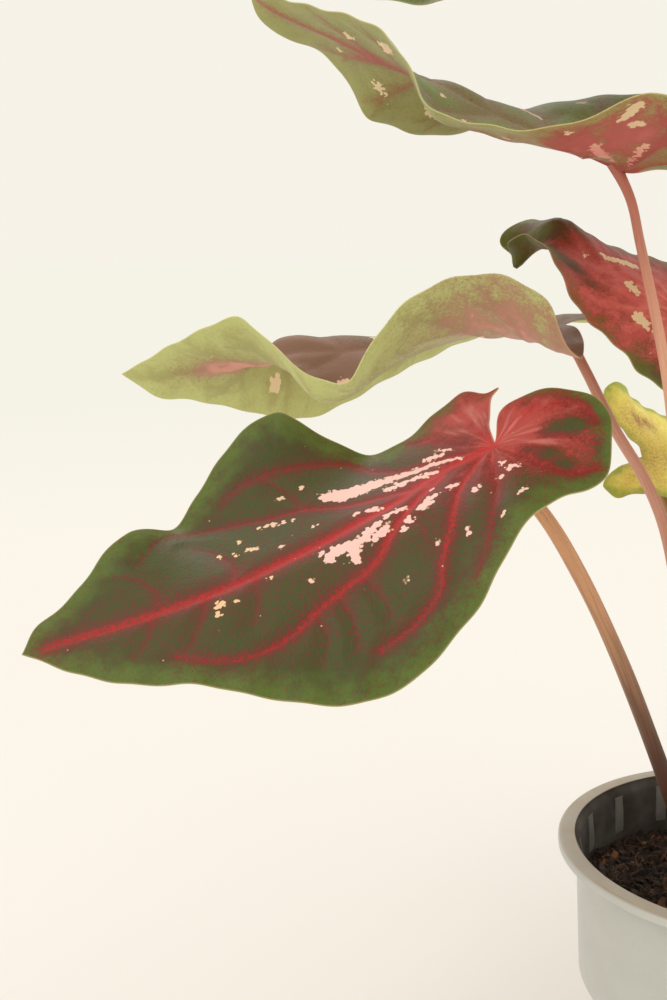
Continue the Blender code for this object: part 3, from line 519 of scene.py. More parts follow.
def blade_marks(name, flat, ring, veins):
    """The measures over the blade that its relief and its colours follow."""
    margin = near_line(flat, np.vstack([ring, ring[:1]]))
    glow = np.zeros(len(flat))
    core = np.zeros(len(flat))
    ridge = np.zeros(len(flat))
    gap = np.full(len(flat), 30.0)
    for line, spread, red in veins:
        away, along = near_vein(flat, line, VEIN_REACH)
        width = np.interp(along, [0, 1], spread)
        strength = np.interp(along, [0, 1], red)
        halo = 0.5 * np.exp(-away / (1.5 * width)) + 0.5 * np.exp(-(away / (0.7 * width))**2)
        glow = 1 - (1 - glow) * (1 - np.clip(strength, 0, 1) * halo)
        heart = 1.5 * np.clip(strength - 0.55, 0, 1)
        core = np.maximum(core, heart * np.exp(-(away / (0.6 * width))**2))
        ridge = np.maximum(ridge, strength * np.exp(-(away / (0.3 * width))**2))
        gap = np.minimum(gap, away)
    pink = np.exp(-((flat[:, 0] - 24) / 34)**2 - ((flat[:, 1] - 6) / 26)**2)
    blotch = np.full(len(flat), 5.0)
    for stroke in BLOTCHES[name]:
        if len(stroke) == 1:
            stroke = [stroke[0], (stroke[0][0] + 0.1, *stroke[0][1:])]
        line = np.array(stroke, float)
        away, along = near_line(flat, line[:, :2])
        marks = np.r_[0, np.cumsum(np.linalg.norm(np.diff(line[:, :2], axis=0), axis=1))]
        radius = np.interp(along, marks / marks[-1], line[:, 2])
        blotch = np.minimum(blotch, away - radius)
    field = np.zeros(len(flat))
    for x, y, rx, ry, strength in FIELDS[name]:
        field += strength * np.exp(-((flat[:, 0] - x) / rx)**2 - ((flat[:, 1] - y) / ry)**2)
    return {"margin": np.minimum(margin[0], 20), "around": margin[1], "glow": glow, "core": core,
            "ridge": ridge, "gap": gap, "blotch": blotch, "field": field, "pink": pink}


def blade_piece(name, leaf, sheet, grid, finishes):
    """The fine blade: an outline with ripples, sunken veins above and raised ones below."""
    ring = outline(leaf, grid * 0.9)
    veins = leaf_veins(name, leaf)
    flat, faces = triangulate(ring, veins, grid)
    marks = blade_marks(name, flat, ring, veins)
    normal = sheet.normals(flat)
    edge = marks["margin"]
    half = np.minimum(HALF_THICKNESS, MARGIN_HALF_THICKNESS + MARGIN_SLOPE * edge)
    waves = np.sin(2 * math.pi * marks["around"] * RIPPLE_COUNT)
    ripples = RIPPLE_HEIGHT * np.exp(-edge / 5) * waves
    puff = PUFF_HEIGHT * (1 - np.exp(-(marks["gap"] / 3.5)**2)) * (1 - np.exp(-(edge / 5)**2))
    rib = marks["ridge"] * (1 - np.exp(-(edge / 2)**2))
    away = np.hypot(flat[:, 0], flat[:, 1])
    stout = RIDGE_HEIGHT + JOINT_RIDGE_HEIGHT * np.exp(-away / 22)
    middle = np.c_[flat, sheet.height(flat)] + normal * (ripples + puff)[:, None]
    top = middle + normal * (half - GROOVE_DEPTH * rib)[:, None]
    under = middle - normal * (half + stout * rib)[:, None]
    count = len(flat)
    used = {pair for a, b, c in faces.tolist() for pair in ((a, b), (b, c), (c, a))}
    border = [pair for pair in used if (pair[1], pair[0]) not in used]
    rim = []
    for a, b in sorted(border):
        rim += [(a, a + count, b + count), (a, b + count, b)]
    everything = np.vstack([faces, faces[:, ::-1] + count, np.array(rim)])
    matrix = np.array(leaf_frame(leaf))
    verts = np.vstack([top, under]) * MM @ matrix[:3, :3].T + matrix[:3, 3]
    piece = mesh_piece(f"{name}_leaf", verts, everything, finishes)
    slots = np.zeros(len(everything), np.int32)
    slots[len(faces):] = 1
    piece.data.polygons.foreach_set("material_index", slots)
    both = {mark: np.r_[marks[mark], marks[mark]]
            for mark in ("margin", "glow", "core", "blotch", "field", "pink")}
    flats = np.c_[flat, np.zeros(count)]
    set_marks(piece.data, {**both, "place": np.vstack([flats, flats])})
    return piece


def set_marks(mesh, marks):
    """Keeps measures on the mesh's points, of one number or three each."""
    for mark, values in marks.items():
        kind, part = ("FLOAT", "value") if values.ndim == 1 else ("FLOAT_VECTOR", "vector")
        layer = mesh.attributes.new(mark, kind, "POINT")
        layer.data.foreach_set(part, values.astype(np.float32).ravel())


def mesh_piece(name, verts, faces, finishes, sharp=50):
    """A smooth-shaded piece, with edges sharper than so many degrees kept sharp."""
    mesh = bpy.data.meshes.new(name)
    if isinstance(faces, np.ndarray):
        faces = faces.tolist()
    mesh.from_pydata(np.asarray(verts).tolist(), [], faces)
    mesh.update()
    mesh.shade_smooth()
    mesh.set_sharp_from_angle(angle=math.radians(sharp))
    for finish in finishes:
        mesh.materials.append(finish)
    piece = bpy.data.objects.new(name, mesh)
    bpy.context.scene.collection.objects.link(piece)
    return piece


def plain_mesh(piece):
    """The piece's evaluated mesh in place of its modifiers."""
    bpy.context.view_layer.update()
    graph = bpy.context.evaluated_depsgraph_get()
    mesh = bpy.data.meshes.new_from_object(piece.evaluated_get(graph))
    piece.modifiers.clear()
    piece.data = mesh
    return piece


# Node trees
FLOAT, COLOUR, VECTOR = "NodeSocketFloat", "NodeSocketColor", "NodeSocketVector"
WHOLE, SOLID, FINISH = "NodeSocketInt", "NodeSocketGeometry", "NodeSocketMaterial"
CENTRED = (-0.5, -0.5, -0.5)


class Wire:
    """What a node gives, written into sums and products as a number is."""

    def __init__(self, socket):
        self.socket = socket
        self.tree = socket.id_data

    def math(self, operation, other, **settings):
        return add(self.tree, "ShaderNodeMath", [(0, self), (1, other)], operation=operation,
                   **settings)

    def __add__(self, other):
        return self.math("ADD", other)

    def __sub__(self, other):
        return self.math("SUBTRACT", other)

    def __mul__(self, other):
        return self.math("MULTIPLY", other)


def node(tree, kind, feeds=(), **settings):
    """A node with its settings, and each named input linked or set."""
    made = tree.nodes.new(kind)
    for key, value in settings.items():
        setattr(made, key, value)
    for label, value in feeds:
        if isinstance(value, Wire):
            tree.links.new(value.socket, made.inputs[label])
        else:
            made.inputs[label].default_value = value
    return made


def add(tree, kind, feeds=(), gives=0, **settings):
    """One output of a new node."""
    return Wire(node(tree, kind, feeds, **settings).outputs[gives])


def group(name, kind, takes, gives):
    """A node group with named sockets, and the wires of its inputs."""
    tree = bpy.data.node_groups.new(name, kind)
    for label, socket, value in takes:
        item = tree.interface.new_socket(label, in_out="INPUT", socket_type=socket)
        if value is not None:
            item.default_value = value
    for label, socket in gives:
        tree.interface.new_socket(label, in_out="OUTPUT", socket_type=socket)
    sources = node(tree, "NodeGroupInput").outputs
    return tree, {source.name: Wire(source) for source in sources if source.name}


def ended(tree, **values):
    """The node group with its outputs linked."""
    node(tree, "NodeGroupOutput", values.items())
    return tree


def skin_group(name, colours, values, vectors=("Place",)):
    """A group for a surface, which takes colours, values and vectors."""
    takes = [(label, COLOUR, None) for label in colours]
    takes += [(label, FLOAT, value) for label, value in values.items()]
    takes += [(label, VECTOR, None) for label in vectors]
    return group(name, "ShaderNodeTree", takes,
                 [("Color", COLOUR), ("Roughness", FLOAT), ("Height", FLOAT)])


def mix(share, a, b):
    tree = next(wire.tree for wire in (share, a, b) if isinstance(wire, Wire))
    return add(tree, "ShaderNodeMix", [(0, share), (6, a), (7, b)], 2, data_type="RGBA")


def ranged(value, low, high, least=0.0, most=1.0, kind="LINEAR"):
    feeds = [("Value", value), ("From Min", low), ("From Max", high), ("To Min", least),
             ("To Max", most)]
    return add(value.tree, "ShaderNodeMapRange", feeds, interpolation_type=kind)


def step(value, low, high):
    """0 below low and 1 above high, with a soft rise between; low may be the larger."""
    return ranged(value, low, high, kind="SMOOTHSTEP")


def grain(place, scale, detail):
    return add(place.tree, "ShaderNodeTexNoise",
               [("Vector", place), ("Scale", scale), ("Detail", detail)], "Fac")


def cells(place, scale, **settings):
    return add(place.tree, "ShaderNodeTexVoronoi", [("Vector", place), ("Scale", scale)],
               "Distance", **settings)


def vector(operation, a, b=None, gives=0):
    feeds = [(0, a)] if b is None else [(0, a), ("Scale" if operation == "SCALE" else 1, b)]
    return add(a.tree, "ShaderNodeVectorMath", feeds, gives, operation=operation)


def shifted(value, scale, middle=0.5):
    """A value about zero, from one about its middle."""
    return (value - middle) * scale


def axis_of(place, axis):
    return add(place.tree, "ShaderNodeSeparateXYZ", [(0, place)], axis)


def realized(geometry):
    return add(geometry.tree, "GeometryNodeRealizeInstances", [("Geometry", geometry)])


def skinned(geometry, skin):
    return add(geometry.tree, "GeometryNodeSetMaterial", [("Geometry", geometry),
                                                          ("Material", skin)])


# Leaf finishes
def fan(place):
    """Streaks that fan out from the stalk's joint."""
    wide = vector("SCALE", vector("NORMALIZE", place), 4.5)
    return grain(vector("ADD", wide, vector("SCALE", place, 0.07)), 1.0, 2)


def ragged_edge(spots, place, small):
    """The blotches' measure with an edge of small rounded cells."""
    lobes = shifted(cells(place, 0.75), 2.0, 0.55)
    return spots + (lobes + shifted(small, 1.6))


def leaf_skin_group():
    """Colours of a blade: green with a paler rim, red spread from the veins in grains, and
    ragged blotches with a yellow fringe."""
    tree, take = skin_group(
        "Leaf skin",
        ("Green", "Rim green", "Shade", "Red", "Bright red", "Flush red", "Blotch", "Cream"),
        {"Speckle": 0.9, "Vein": 1.0, "Flush": 1.0, "Rim width": 9.0, "Streaks": 0.22,
         "Margin": 9.0, "Glow": 0.0, "Core": 0.0, "Spots": 5.0, "Field": 0.0, "Pink": 0.0})
    place = take["Place"]
    fine, small, patch = grain(place, 2.6, 3), grain(place, 0.9, 3), grain(place, 0.2, 2)
    streak = fan(place)
    # Green, paler at the rim and darker in flecks near the veins
    rimmed = step(take["Margin"] + shifted(patch, 9), 0.0, take["Rim width"])
    colour = mix(rimmed, take["Rim green"], take["Green"])
    near = take["Glow"] + (shifted(fine, 0.9) + shifted(small, 0.7) + shifted(patch, 0.7))
    colour = mix(step(near, -0.1, 0.4) * (rimmed * 0.45 + 0.35), colour, take["Shade"])
    # Red in grains along the veins and over the flushed areas
    wander = (shifted(fine, 2.8) + shifted(small, 2.1)) * take["Speckle"]
    uneven = shifted(streak, 0.9) + shifted(patch, 1.6) + 1.0
    flush = take["Field"] * take["Flush"] * uneven
    redness = step(take["Glow"] * take["Vein"] + flush + wander, 0.1, 0.95)
    colour = mix(redness * 0.95, colour, take["Red"])
    colour = mix(step(flush + wander * 0.6, 0.25, 1.3) * 0.85, colour, take["Flush red"])
    heart = step(take["Core"] * take["Vein"] + wander * 0.6, 0.25, 1.1)
    colour = mix(heart, colour, take["Bright red"])
    # Pale streaks that fade away from the joint
    lit = step(streak, 0.48, 0.72) * step(flush, 0.4, 1.3)
    lit = lit * step(vector("LENGTH", place, gives="Value"), 42.0, 6.0)
    colour = mix(lit * take["Streaks"], colour, take["Blotch"])
    # Blotches, pink near the joint and cream further out, with a broken fringe
    ragged = ragged_edge(take["Spots"], place, small)
    tint = mix(step(take["Pink"] + patch * 0.3, 0.2, 0.6), take["Cream"], take["Blotch"])
    fringe = mix(0.6, take["Rim green"], take["Cream"])
    colour = mix(step(ragged, 0.4, 0.1) * step(patch, 0.5, 0.62) * 0.7, colour, fringe)
    colour = mix(step(ragged, 0.08, -0.08), colour, tint)
    freckle = step(cells(place, 0.3), 0.09, 0.05) * patch.math("GREATER_THAN", 0.6)
    colour = mix(freckle * 0.7, colour, take["Cream"])
    # A thin cream line along the margin: painted light shining through the thin edge
    colour = mix(step(take["Margin"], 0.45, 0.1) * 0.22, colour, take["Cream"])
    net = step(cells(place, 0.42, feature="DISTANCE_TO_EDGE"), 0.0, 0.16)
    relief = net * 0.6 + cells(place, 3.2) * 0.35 + patch * 0.8
    return ended(tree, Color=colour, Roughness=small * 0.24 + 0.34, Height=relief)


def finish_material(name, skin, values, marks, bump, depth, **shader_values):
    """A Principled material whose colour, roughness and relief come from a group. Marks name
    the attributes that the group reads, or the object's own place."""
    mat = bpy.data.materials.new(name)
    mat.use_nodes = True
    tree = mat.node_tree
    shader = tree.nodes["Principled BSDF"]
    painted = node(tree, "ShaderNodeGroup", values.items(), node_tree=skin)
    for label, mark in marks.items():
        target = painted.inputs[label]
        gives = "Vector" if target.type == "VECTOR" else "Fac"
        source = object_place(tree) if mark == "object" else add(
            tree, "ShaderNodeAttribute", (), gives, attribute_name=mark)
        tree.links.new(source.socket, target)
    relief = node(tree, "ShaderNodeBump", [("Strength", bump), ("Distance", depth),
                                           ("Height", Wire(painted.outputs["Height"]))])
    tree.links.new(painted.outputs["Color"], shader.inputs["Base Color"])
    tree.links.new(painted.outputs["Roughness"], shader.inputs["Roughness"])
    tree.links.new(relief.outputs["Normal"], shader.inputs["Normal"])
    for label, value in shader_values.items():
        shader.inputs[label.replace("_", " ")].default_value = value
    return mat


def object_place(tree):
    return add(tree, "ShaderNodeTexCoord", gives="Object")


LEAF_MARKS = {"Place": "place", "Margin": "margin", "Glow": "glow", "Core": "core",
              "Spots": "blotch", "Field": "field", "Pink": "pink"}
STALK_MARKS = {"Rise": "rise", "Length": "length", "Middle line": "middle", "Place": "object"}
PLACE_ONLY = {"Place": "object"}


def rgb(red, green, blue):
    """A colour as it looks on a screen, 0 to 255, in the shader's linear terms."""
    linear = [((v / 255 + 0.055) / 1.055)**2.4 if v > 10 else v / 255 / 12.92
              for v in (red, green, blue)]
    return (*linear, 1.0)


def leaf_material(name, skin, **values):
    labels = {key.replace("_", " ").capitalize(): value for key, value in values.items()}
    return finish_material(name, skin, labels, LEAF_MARKS, bump=0.35, depth=0.12 * MM,
                           Specular_IOR_Level=0.16)


def palette(**tones):
    """Named colours from their screen values, and any other value as it is."""
    return {key: rgb(*tone) if isinstance(tone, tuple) else tone for key, tone in tones.items()}


DARK_TOP = palette(green=(66, 77, 35), rim_green=(88, 105, 43), shade=(86, 61, 43),
                   red=(122, 42, 37), bright_red=(182, 42, 41), flush_red=(180, 74, 66),
                   blotch=(239, 194, 184), cream=(230, 194, 148))
# Undersides in their own paler green and pink, lifted further as painted light shining through the
# blade
PALE_UNDER = palette(green=(165, 163, 102), rim_green=(168, 169, 103), shade=(148, 143, 87),
                     red=(172, 108, 94), bright_red=(188, 106, 98), flush_red=(204, 110, 102),
                     blotch=(240, 206, 172), cream=(240, 216, 172), speckle=0.4)
# How each leaf's upper side and underside differ from those two
LEAF_LOOKS = {
    "front": (palette(rim_width=9.5), palette(vein=0.9, flush=0.6)),
    # The top leaf's upper side is lifted to a pale green: painted light that offsets the shade it
    # lies in
    "top": (palette(green=(122, 140, 80), rim_green=(114, 146, 78), shade=(136, 116, 88),
                    vein=0.1, flush=0.2),
            palette(red=(176, 88, 80), blotch=(244, 166, 152), vein=0.8, streaks=0.75)),
    "left": (palette(green=(110, 106, 62), rim_green=(92, 112, 54), red=(136, 96, 76),
                     bright_red=(140, 96, 78), flush_red=(134, 100, 78), vein=0.4),
             # The left leaf's underside is lighter still: painted light shining through the blade
             palette(green=(184, 182, 116), rim_green=(200, 204, 132), shade=(168, 162, 104),
                     red=(156, 106, 90), flush_red=(224, 158, 138), flush=0.7, vein=0.1,
                     rim_width=12.0)),
    "red": (palette(green=(96, 78, 42), rim_green=(106, 112, 48), shade=(104, 68, 46),
                    red=(178, 74, 66), bright_red=(212, 94, 88), flush_red=(226, 112, 104),
                    blotch=(240, 208, 166), cream=(240, 208, 166), speckle=0.6, vein=0.7),
            palette(green=(104, 92, 46), rim_green=(112, 120, 58))),
    # The small leaf's upper side is its own yellow lifted to full brightness: painted light shining
    # through it
    "small": (palette(green=(255, 242, 122), rim_green=(172, 188, 82), shade=(244, 220, 110),
                      red=(170, 104, 72), bright_red=(190, 112, 80), flush_red=(186, 110, 76),
                      vein=0.3, flush=0.55, speckle=0.4, rim_width=6.0),
              palette(green=(176, 168, 104))),
    # The upper leaf's underside is given dark tones: painted shade
    "upper": ({}, palette(green=(92, 86, 52), shade=(76, 62, 42))),
    "right_front": ({}, palette(vein=0.9)),
    "right_back": ({}, palette(vein=0.9)),
}
LEAF_SLOTS = {"front": "dark_leaf", "top": "pale_leaf", "left": "pale_leaf", "red": "red_leaf",
              "small": "yellow_leaf", "upper": "dark_leaf", "right_front": "dark_leaf",
              "right_back": "dark_leaf"}


# Stalks
def stalk_tree():
    """A tube along a line of points, as thick as each point's girth says."""
    tree, take = group("Stalk", "GeometryNodeTree",
                       [("Geometry", SOLID, None), ("Sides", WHOLE, STALK_SIDES),
                        ("Skin", FINISH, None)], [("Geometry", SOLID)])
    line = add(tree, "GeometryNodeMeshToCurve", [("Mesh", take["Geometry"])])
    girth = add(tree, "GeometryNodeInputNamedAttribute", [("Name", "girth")], "Attribute",
                data_type="FLOAT")
    ring = add(tree, "GeometryNodeCurvePrimitiveCircle", [("Resolution", take["Sides"]),
                                                          ("Radius", 1.0)])
    tube = add(tree, "GeometryNodeCurveToMesh", [("Curve", line), ("Profile Curve", ring),
                                                 ("Scale", girth), ("Fill Caps", True)])
    smooth = add(tree, "GeometryNodeSetShadeSmooth", [("Geometry", tube)])
    return ended(tree, Geometry=skinned(realized(smooth), take["Skin"]))


def use_tree(piece, tree, values):
    """Puts the node tree on the piece, with its named inputs set by their identifiers."""
    modifier = piece.modifiers.new(tree.name, "NODES")
    modifier.node_group = tree
    for item in tree.interface.items_tree:
        if item.in_out == "INPUT" and item.name in values:
            modifier[item.identifier] = values[item.name]
    return plain_mesh(piece)


def stalk_piece(name, leaf, sheet, tree, skin):
    """The stalk from just inside the blade down into the soil, flared where they join."""
    placed = leaf_frame(leaf)
    seat = placed @ (Vector((SEAT_X, 0, 0)) * MM)
    path = np.array([tuple(seat)] + [tuple(Vector(p) * MM) for p in leaf["stalk"]])
    centre = evenly(smooth_curve(path, 16), STALK_STEP)
    share = np.linspace(0, 1, len(centre))
    length = np.linalg.norm(np.diff(centre, axis=0), axis=1).sum()
    girth = np.interp(share, [0, .5, 1], leaf["radii"]) * MM
    girth *= 1 + FLARE * np.exp(-share * length / FLARE_REACH)
    girth *= 1 + 0.02 * np.sin(share * length / (7 * MM) + 2.0)
    line = bpy.data.meshes.new(f"{name}_line")
    line.from_pydata(centre.tolist(), [(i, i + 1) for i in range(len(centre) - 1)], [])
    set_marks(line, {"girth": girth, "rise": share, "length": share * length, "middle": centre})
    piece = bpy.data.objects.new(f"{name}_leaf_stalk", line)
    bpy.context.scene.collection.objects.link(piece)
    use_tree(piece, tree, {"Sides": STALK_SIDES, "Skin": skin})
    shape_end(piece.data, placed, sheet)
    return piece


def shape_end(mesh, placed, sheet):
    """Lowers what would pass through the blade to just inside its underside."""
    verts = np.zeros(len(mesh.vertices) * 3)
    mesh.vertices.foreach_get("co", verts)
    turn = np.array(placed)[:3, :3]
    base = np.array(placed)[:3, 3]
    local = (verts.reshape(-1, 3) - base) @ turn / MM
    near = np.linalg.norm(local, axis=1) < SEAT_REACH
    roof = sheet.height(local[near, :2]) - SEAT_SINK
    local[near, 2] = np.minimum(local[near, 2], roof)
    mesh.vertices.foreach_set("co", (local * MM @ turn.T + base).ravel())
    mesh.update()


def stalk_skin_group():
    """Stalk colours from the blade down, with long streaks and fine specks."""
    tree, take = skin_group("Stalk skin", ("Top", "Middle", "Foot"),
                            {"Rise": 0.0, "Length": 0.0}, ("Middle line", "Place"))
    outward = vector("SUBTRACT", take["Place"], take["Middle line"])
    down = add(tree, "ShaderNodeCombineXYZ", [("Z", take["Length"] * 55.0)])
    streak = grain(vector("ADD", vector("SCALE", outward, 1300.0), down), 1.0, 3)
    speck = grain(take["Place"], 1800.0, 2)
    colour = mix(step(take["Rise"], 0.0, 0.35), take["Top"], take["Middle"])
    fall = step(take["Rise"] + shifted(streak, 0.12), 0.2, 0.62)
    for share in (fall, step(streak, 0.45, 0.72) * 0.28, step(speck, 0.62, 0.72) * 0.3):
        colour = mix(share, colour, take["Foot"])
    return ended(tree, Color=colour, Roughness=streak * 0.2 + 0.34, Height=streak)


# Each stalk's colours at the blade, at mid height and at the foot
STALK_LOOKS = {
    "front": ((222, 162, 114), (214, 158, 116), (84, 50, 34)),
    "top": ((196, 116, 96), (240, 184, 152), (150, 100, 76)),
    "left": ((206, 144, 124), (222, 164, 142), (150, 100, 76)),
    "red": ((196, 116, 96), (200, 138, 112), (110, 70, 52)),
    "small": ((190, 150, 100), (190, 146, 108), (110, 76, 52)),
    "upper": ((150, 90, 76), (176, 112, 88), (100, 62, 46)),
    "right_front": ((196, 138, 100), (184, 128, 94), (90, 56, 40)),
    "right_back": ((190, 126, 102), (186, 124, 96), (100, 64, 48)),
}


# Pot, soil and tuber
def wall_radius(z):
    """The pot's outer radius under the lip, at height z."""
    return float(np.interp(z, [0, STEP_BOTTOM, STEP_TOP, UNDER_LIP],
                           [BASE_RADIUS, STEP_RADIUS, WALL_STEP_RADIUS, WALL_TOP_RADIUS]))


def side_faces(rows, sides):
    """Faces between each two rows of points round a form."""
    return [(i * sides + k, (i + 1) * sides + k, (i + 1) * sides + n, i * sides + n)
            for i in range(rows - 1) for k, n in neighbours(sides)]


def neighbours(sides):
    return [(k, (k + 1) % sides) for k in range(sides)]


def closed_faces(rows, sides):
    """Side faces, and fans from two last points to the first and the last row."""
    top, last = rows * sides, (rows - 1) * sides
    faces = side_faces(rows, sides)
    for k, n in neighbours(sides):
        faces += [(top, k, n), (top + 1, last + n, last + k)]
    return faces


def turned(profile, sides):
    """A closed surface turned about Z from a profile whose two ends lie on the axis."""
    turns = np.linspace(0, 2 * math.pi, sides, endpoint=False)
    verts = [(r * math.cos(t), r * math.sin(t), z) for r, z in profile[1:-1] for t in turns]
    verts += [(0, 0, profile[0][1]), (0, 0, profile[-1][1])]
    return verts, closed_faces(len(profile) - 2, sides)


def rounded(profile, reach, steps=4):
    """The profile with each inner corner rounded over the reach."""
    p = [np.array(v, float) for v in profile]
    out = [tuple(p[0])]
    for before, corner, after in zip(p[:-2], p[1:-1], p[2:]):
        into, away = before - corner, after - corner
        r = min(reach, 0.4 * np.linalg.norm(into), 0.4 * np.linalg.norm(away))
        a = corner + into / np.linalg.norm(into) * r
        b = corner + away / np.linalg.norm(away) * r
        for t in np.linspace(0, 1, steps):
            out.append(tuple((1 - t)**2 * a + 2 * t * (1 - t) * corner + t**2 * b))
    return out + [tuple(p[-1])]


def pot_piece(skin):
    """The pot's wall, step, floor and rolled lip, with its drainage holes cut."""
    under_flange = POT_HEIGHT - FLANGE_THICKNESS
    profile = [
        (0, FLOOR), (BASE_RADIUS - WALL - BASE_EDGE, FLOOR),
        (BASE_RADIUS - WALL, FLOOR + BASE_EDGE), (STEP_RADIUS - WALL, STEP_BOTTOM),
        (WALL_STEP_RADIUS - WALL, STEP_TOP), (WALL_TOP_RADIUS - WALL, UNDER_LIP),
        (RIM_INNER_RADIUS - RIM_EDGE / 4, POT_HEIGHT - RIM_EDGE), (RIM_INNER_RADIUS, POT_HEIGHT),
        (RIM_RADIUS - RIM_EDGE, POT_HEIGHT), (RIM_RADIUS, POT_HEIGHT - RIM_EDGE),
        (RIM_RADIUS, UNDER_LIP), (RIM_RADIUS - LIP_THICKNESS, UNDER_LIP),
        (RIM_RADIUS - LIP_THICKNESS, under_flange), (WALL_TOP_RADIUS, under_flange),
        (WALL_STEP_RADIUS, STEP_TOP), (STEP_RADIUS, STEP_BOTTOM), (BASE_RADIUS, BASE_EDGE),
        (BASE_RADIUS - BASE_EDGE, 0), (0, 0)]
    verts, faces = turned(rounded(profile, POT_ROUNDING), POT_SIDES)
    pot = mesh_piece("pot_shell", verts, faces, [skin], 35)
    verts, faces = turned([(0, FLOOR * 2), (DRAIN_RADIUS, FLOOR * 2), (DRAIN_RADIUS, -FLOOR),
                           (0, -FLOOR)], DRAIN_SIDES)
    drills = []
    for i in range(DRAIN_COUNT):
        turn = 2 * math.pi * (i + 0.5) / DRAIN_COUNT
        spot = Vector((DRAIN_CIRCLE * math.cos(turn), DRAIN_CIRCLE * math.sin(turn), 0))
        drills.append(mesh_piece(f"drill_{i}", [Vector(v) + spot for v in verts], faces, []))
        cut = pot.modifiers.new(f"drain_{i}", "BOOLEAN")
        cut.operation, cut.solver, cut.object = "DIFFERENCE", "EXACT", drills[-1]
    plain_mesh(pot)
    for drill in drills:
        bpy.data.objects.remove(drill)
    return pot


def rib_tree():
    """One rib repeated round a circle, turned to face its middle."""
    tree, take = group("Ribs in a ring", "GeometryNodeTree",
                       [("Geometry", SOLID, None), ("Count", WHOLE, RIB_COUNT),
                        ("First turn", FLOAT, 0.0), ("Skin", FINISH, None)], [("Geometry", SOLID)])
    spots = add(tree, "GeometryNodePoints", [("Count", take["Count"])])
    pitch = add(tree, "ShaderNodeMath", [(0, 2 * math.pi), (1, take["Count"])],
                operation="DIVIDE")
    angle = add(tree, "GeometryNodeInputIndex") * pitch + take["First turn"]
    turn = add(tree, "ShaderNodeCombineXYZ", [("Z", angle)])
    ring = add(tree, "GeometryNodeInstanceOnPoints", [
        ("Points", spots), ("Instance", take["Geometry"]), ("Rotation", turn)])
    return ended(tree, Geometry=skinned(realized(ring), take["Skin"]))


def ribs_piece(skin):
    """Upright ribs with rounded noses on the inside of the wall."""
    verts = []
    levels = np.linspace(RIB_BOTTOM, RIB_TOP, 7)
    nose = np.radians(np.linspace(-90, 90, 7))
    for z in levels:
        wall = wall_radius(z) - WALL
        fade = min(1.0, (z - RIB_BOTTOM) / (2 * MM) + 0.25, (RIB_TOP - z) / (5 * MM))
        for t in nose:
            verts.append((wall - RIB_DEPTH * fade * math.cos(t), RIB_WIDTH / 2 * math.sin(t), z))
        verts += [(wall + WALL / 2, RIB_WIDTH / 2, z), (wall + WALL / 2, -RIB_WIDTH / 2, z)]
    side = len(nose) + 2
    faces = side_faces(len(levels), side)
    faces += [tuple(range(side)), tuple(range(len(verts) - 1, len(verts) - side - 1, -1))]
    rib = mesh_piece("pot_ribs", verts, faces, [skin], 60)
    return use_tree(rib, rib_tree(), {"Count": RIB_COUNT, "First turn": math.pi / RIB_COUNT,
                                      "Skin": skin})


def soil_height(x, y):
    """The soil's uneven top: higher at the left, with clods and crumbs."""
    clods = CLOD_HEIGHT * math.sin(x / (9 * MM) + 1.3) * math.cos(y / (8 * MM) + 0.4)
    fine = CRUMB_HEIGHT * math.sin(x / (4.2 * MM) + y / (5.1 * MM))
    rough = ROUGH_HEIGHT * noise.fractal(Vector((x, y, 0)) * 320, 0.7, 2.2, 4)
    away = math.hypot(x - HEAP_SPOT[0], y - HEAP_SPOT[1]) / HEAP_WIDTH
    heap = HEAP_HEIGHT * math.exp(-away * away)
    return SOIL_LEVEL - SOIL_FALL * x + heap + clods + fine + rough


def soil_piece(skin):
    """The soil: an uneven top in rings, and sides that follow the pot's wall and floor."""
    inset = WALL + SOIL_GAP
    turns = [2 * math.pi * k / SOIL_SIDES for k in range(SOIL_SIDES)]
    verts = []
    for i in range(1, SOIL_RINGS + 1):
        reach = (wall_radius(SOIL_SHOULDER) - inset) * i / SOIL_RINGS
        for turn in turns:
            x, y = reach * math.cos(turn), reach * math.sin(turn)
            verts.append((x, y, soil_height(x, y)))
    underside = FLOOR + SOIL_LIFT
    rows = [(wall_radius(z), z) for z in (SOIL_SHOULDER, STEP_TOP, STEP_BOTTOM)]
    rows += [(BASE_RADIUS, FLOOR + BASE_EDGE + SOIL_GAP), (BASE_RADIUS - BASE_EDGE, underside)]
    for radius, z in rows:
        verts += [((radius - inset) * math.cos(turn), (radius - inset) * math.sin(turn), z)
                  for turn in turns]
    verts += [(0, 0, soil_height(0, 0)), (0, 0, underside)]
    faces = closed_faces(SOIL_RINGS + len(rows), SOIL_SIDES)
    return mesh_piece("potting_soil", verts, faces, [skin], 70)


# Each kind of crumb: its density input, its share of that, its stretch, its least and
# greatest size, and its material input
CRUMB_KINDS = [("Crumbs", 1.0, (1.0, .8, .6), (.35, 1.3), "Earth"),
               ("Crumbs", .35, (1.7, 1.1, .5), (.5, 1.5), "Earth"),
               ("Fibres", .8, (2.2, 1.2, .6), (.5, 1.4), "Bark")]


def bent(shape, scale):
    """The shape with its points pushed about by noise."""
    place = add(shape.tree, "GeometryNodeInputPosition")
    wobble = add(shape.tree, "ShaderNodeTexNoise",
                 [("Vector", place), ("Scale", scale), ("Detail", 1.0)], "Color")
    return add(shape.tree, "GeometryNodeSetPosition",
               [("Geometry", shape), ("Offset", vector("ADD", wobble, CENTRED))])


def scattered(take, open_top, shape, density, size, turns, seeds, skin):
    """The shape set over the open top at random spots and turns."""
    tree = shape.tree
    spots = add(tree, "GeometryNodeDistributePointsOnFaces",
                [("Mesh", take["Geometry"]), ("Selection", open_top), ("Density", density),
                 ("Seed", take["Seed"] + seeds[0])])
    turn = add(tree, "FunctionNodeRandomValue", [(0, turns[0]), (1, turns[1]),
                                                 ("Seed", take["Seed"] + seeds[1])],
               data_type="FLOAT_VECTOR")
    lots = add(tree, "GeometryNodeInstanceOnPoints", [
        ("Points", spots), ("Instance", shape), ("Rotation", turn), ("Scale", size)])
    return skinned(lots, take[skin])


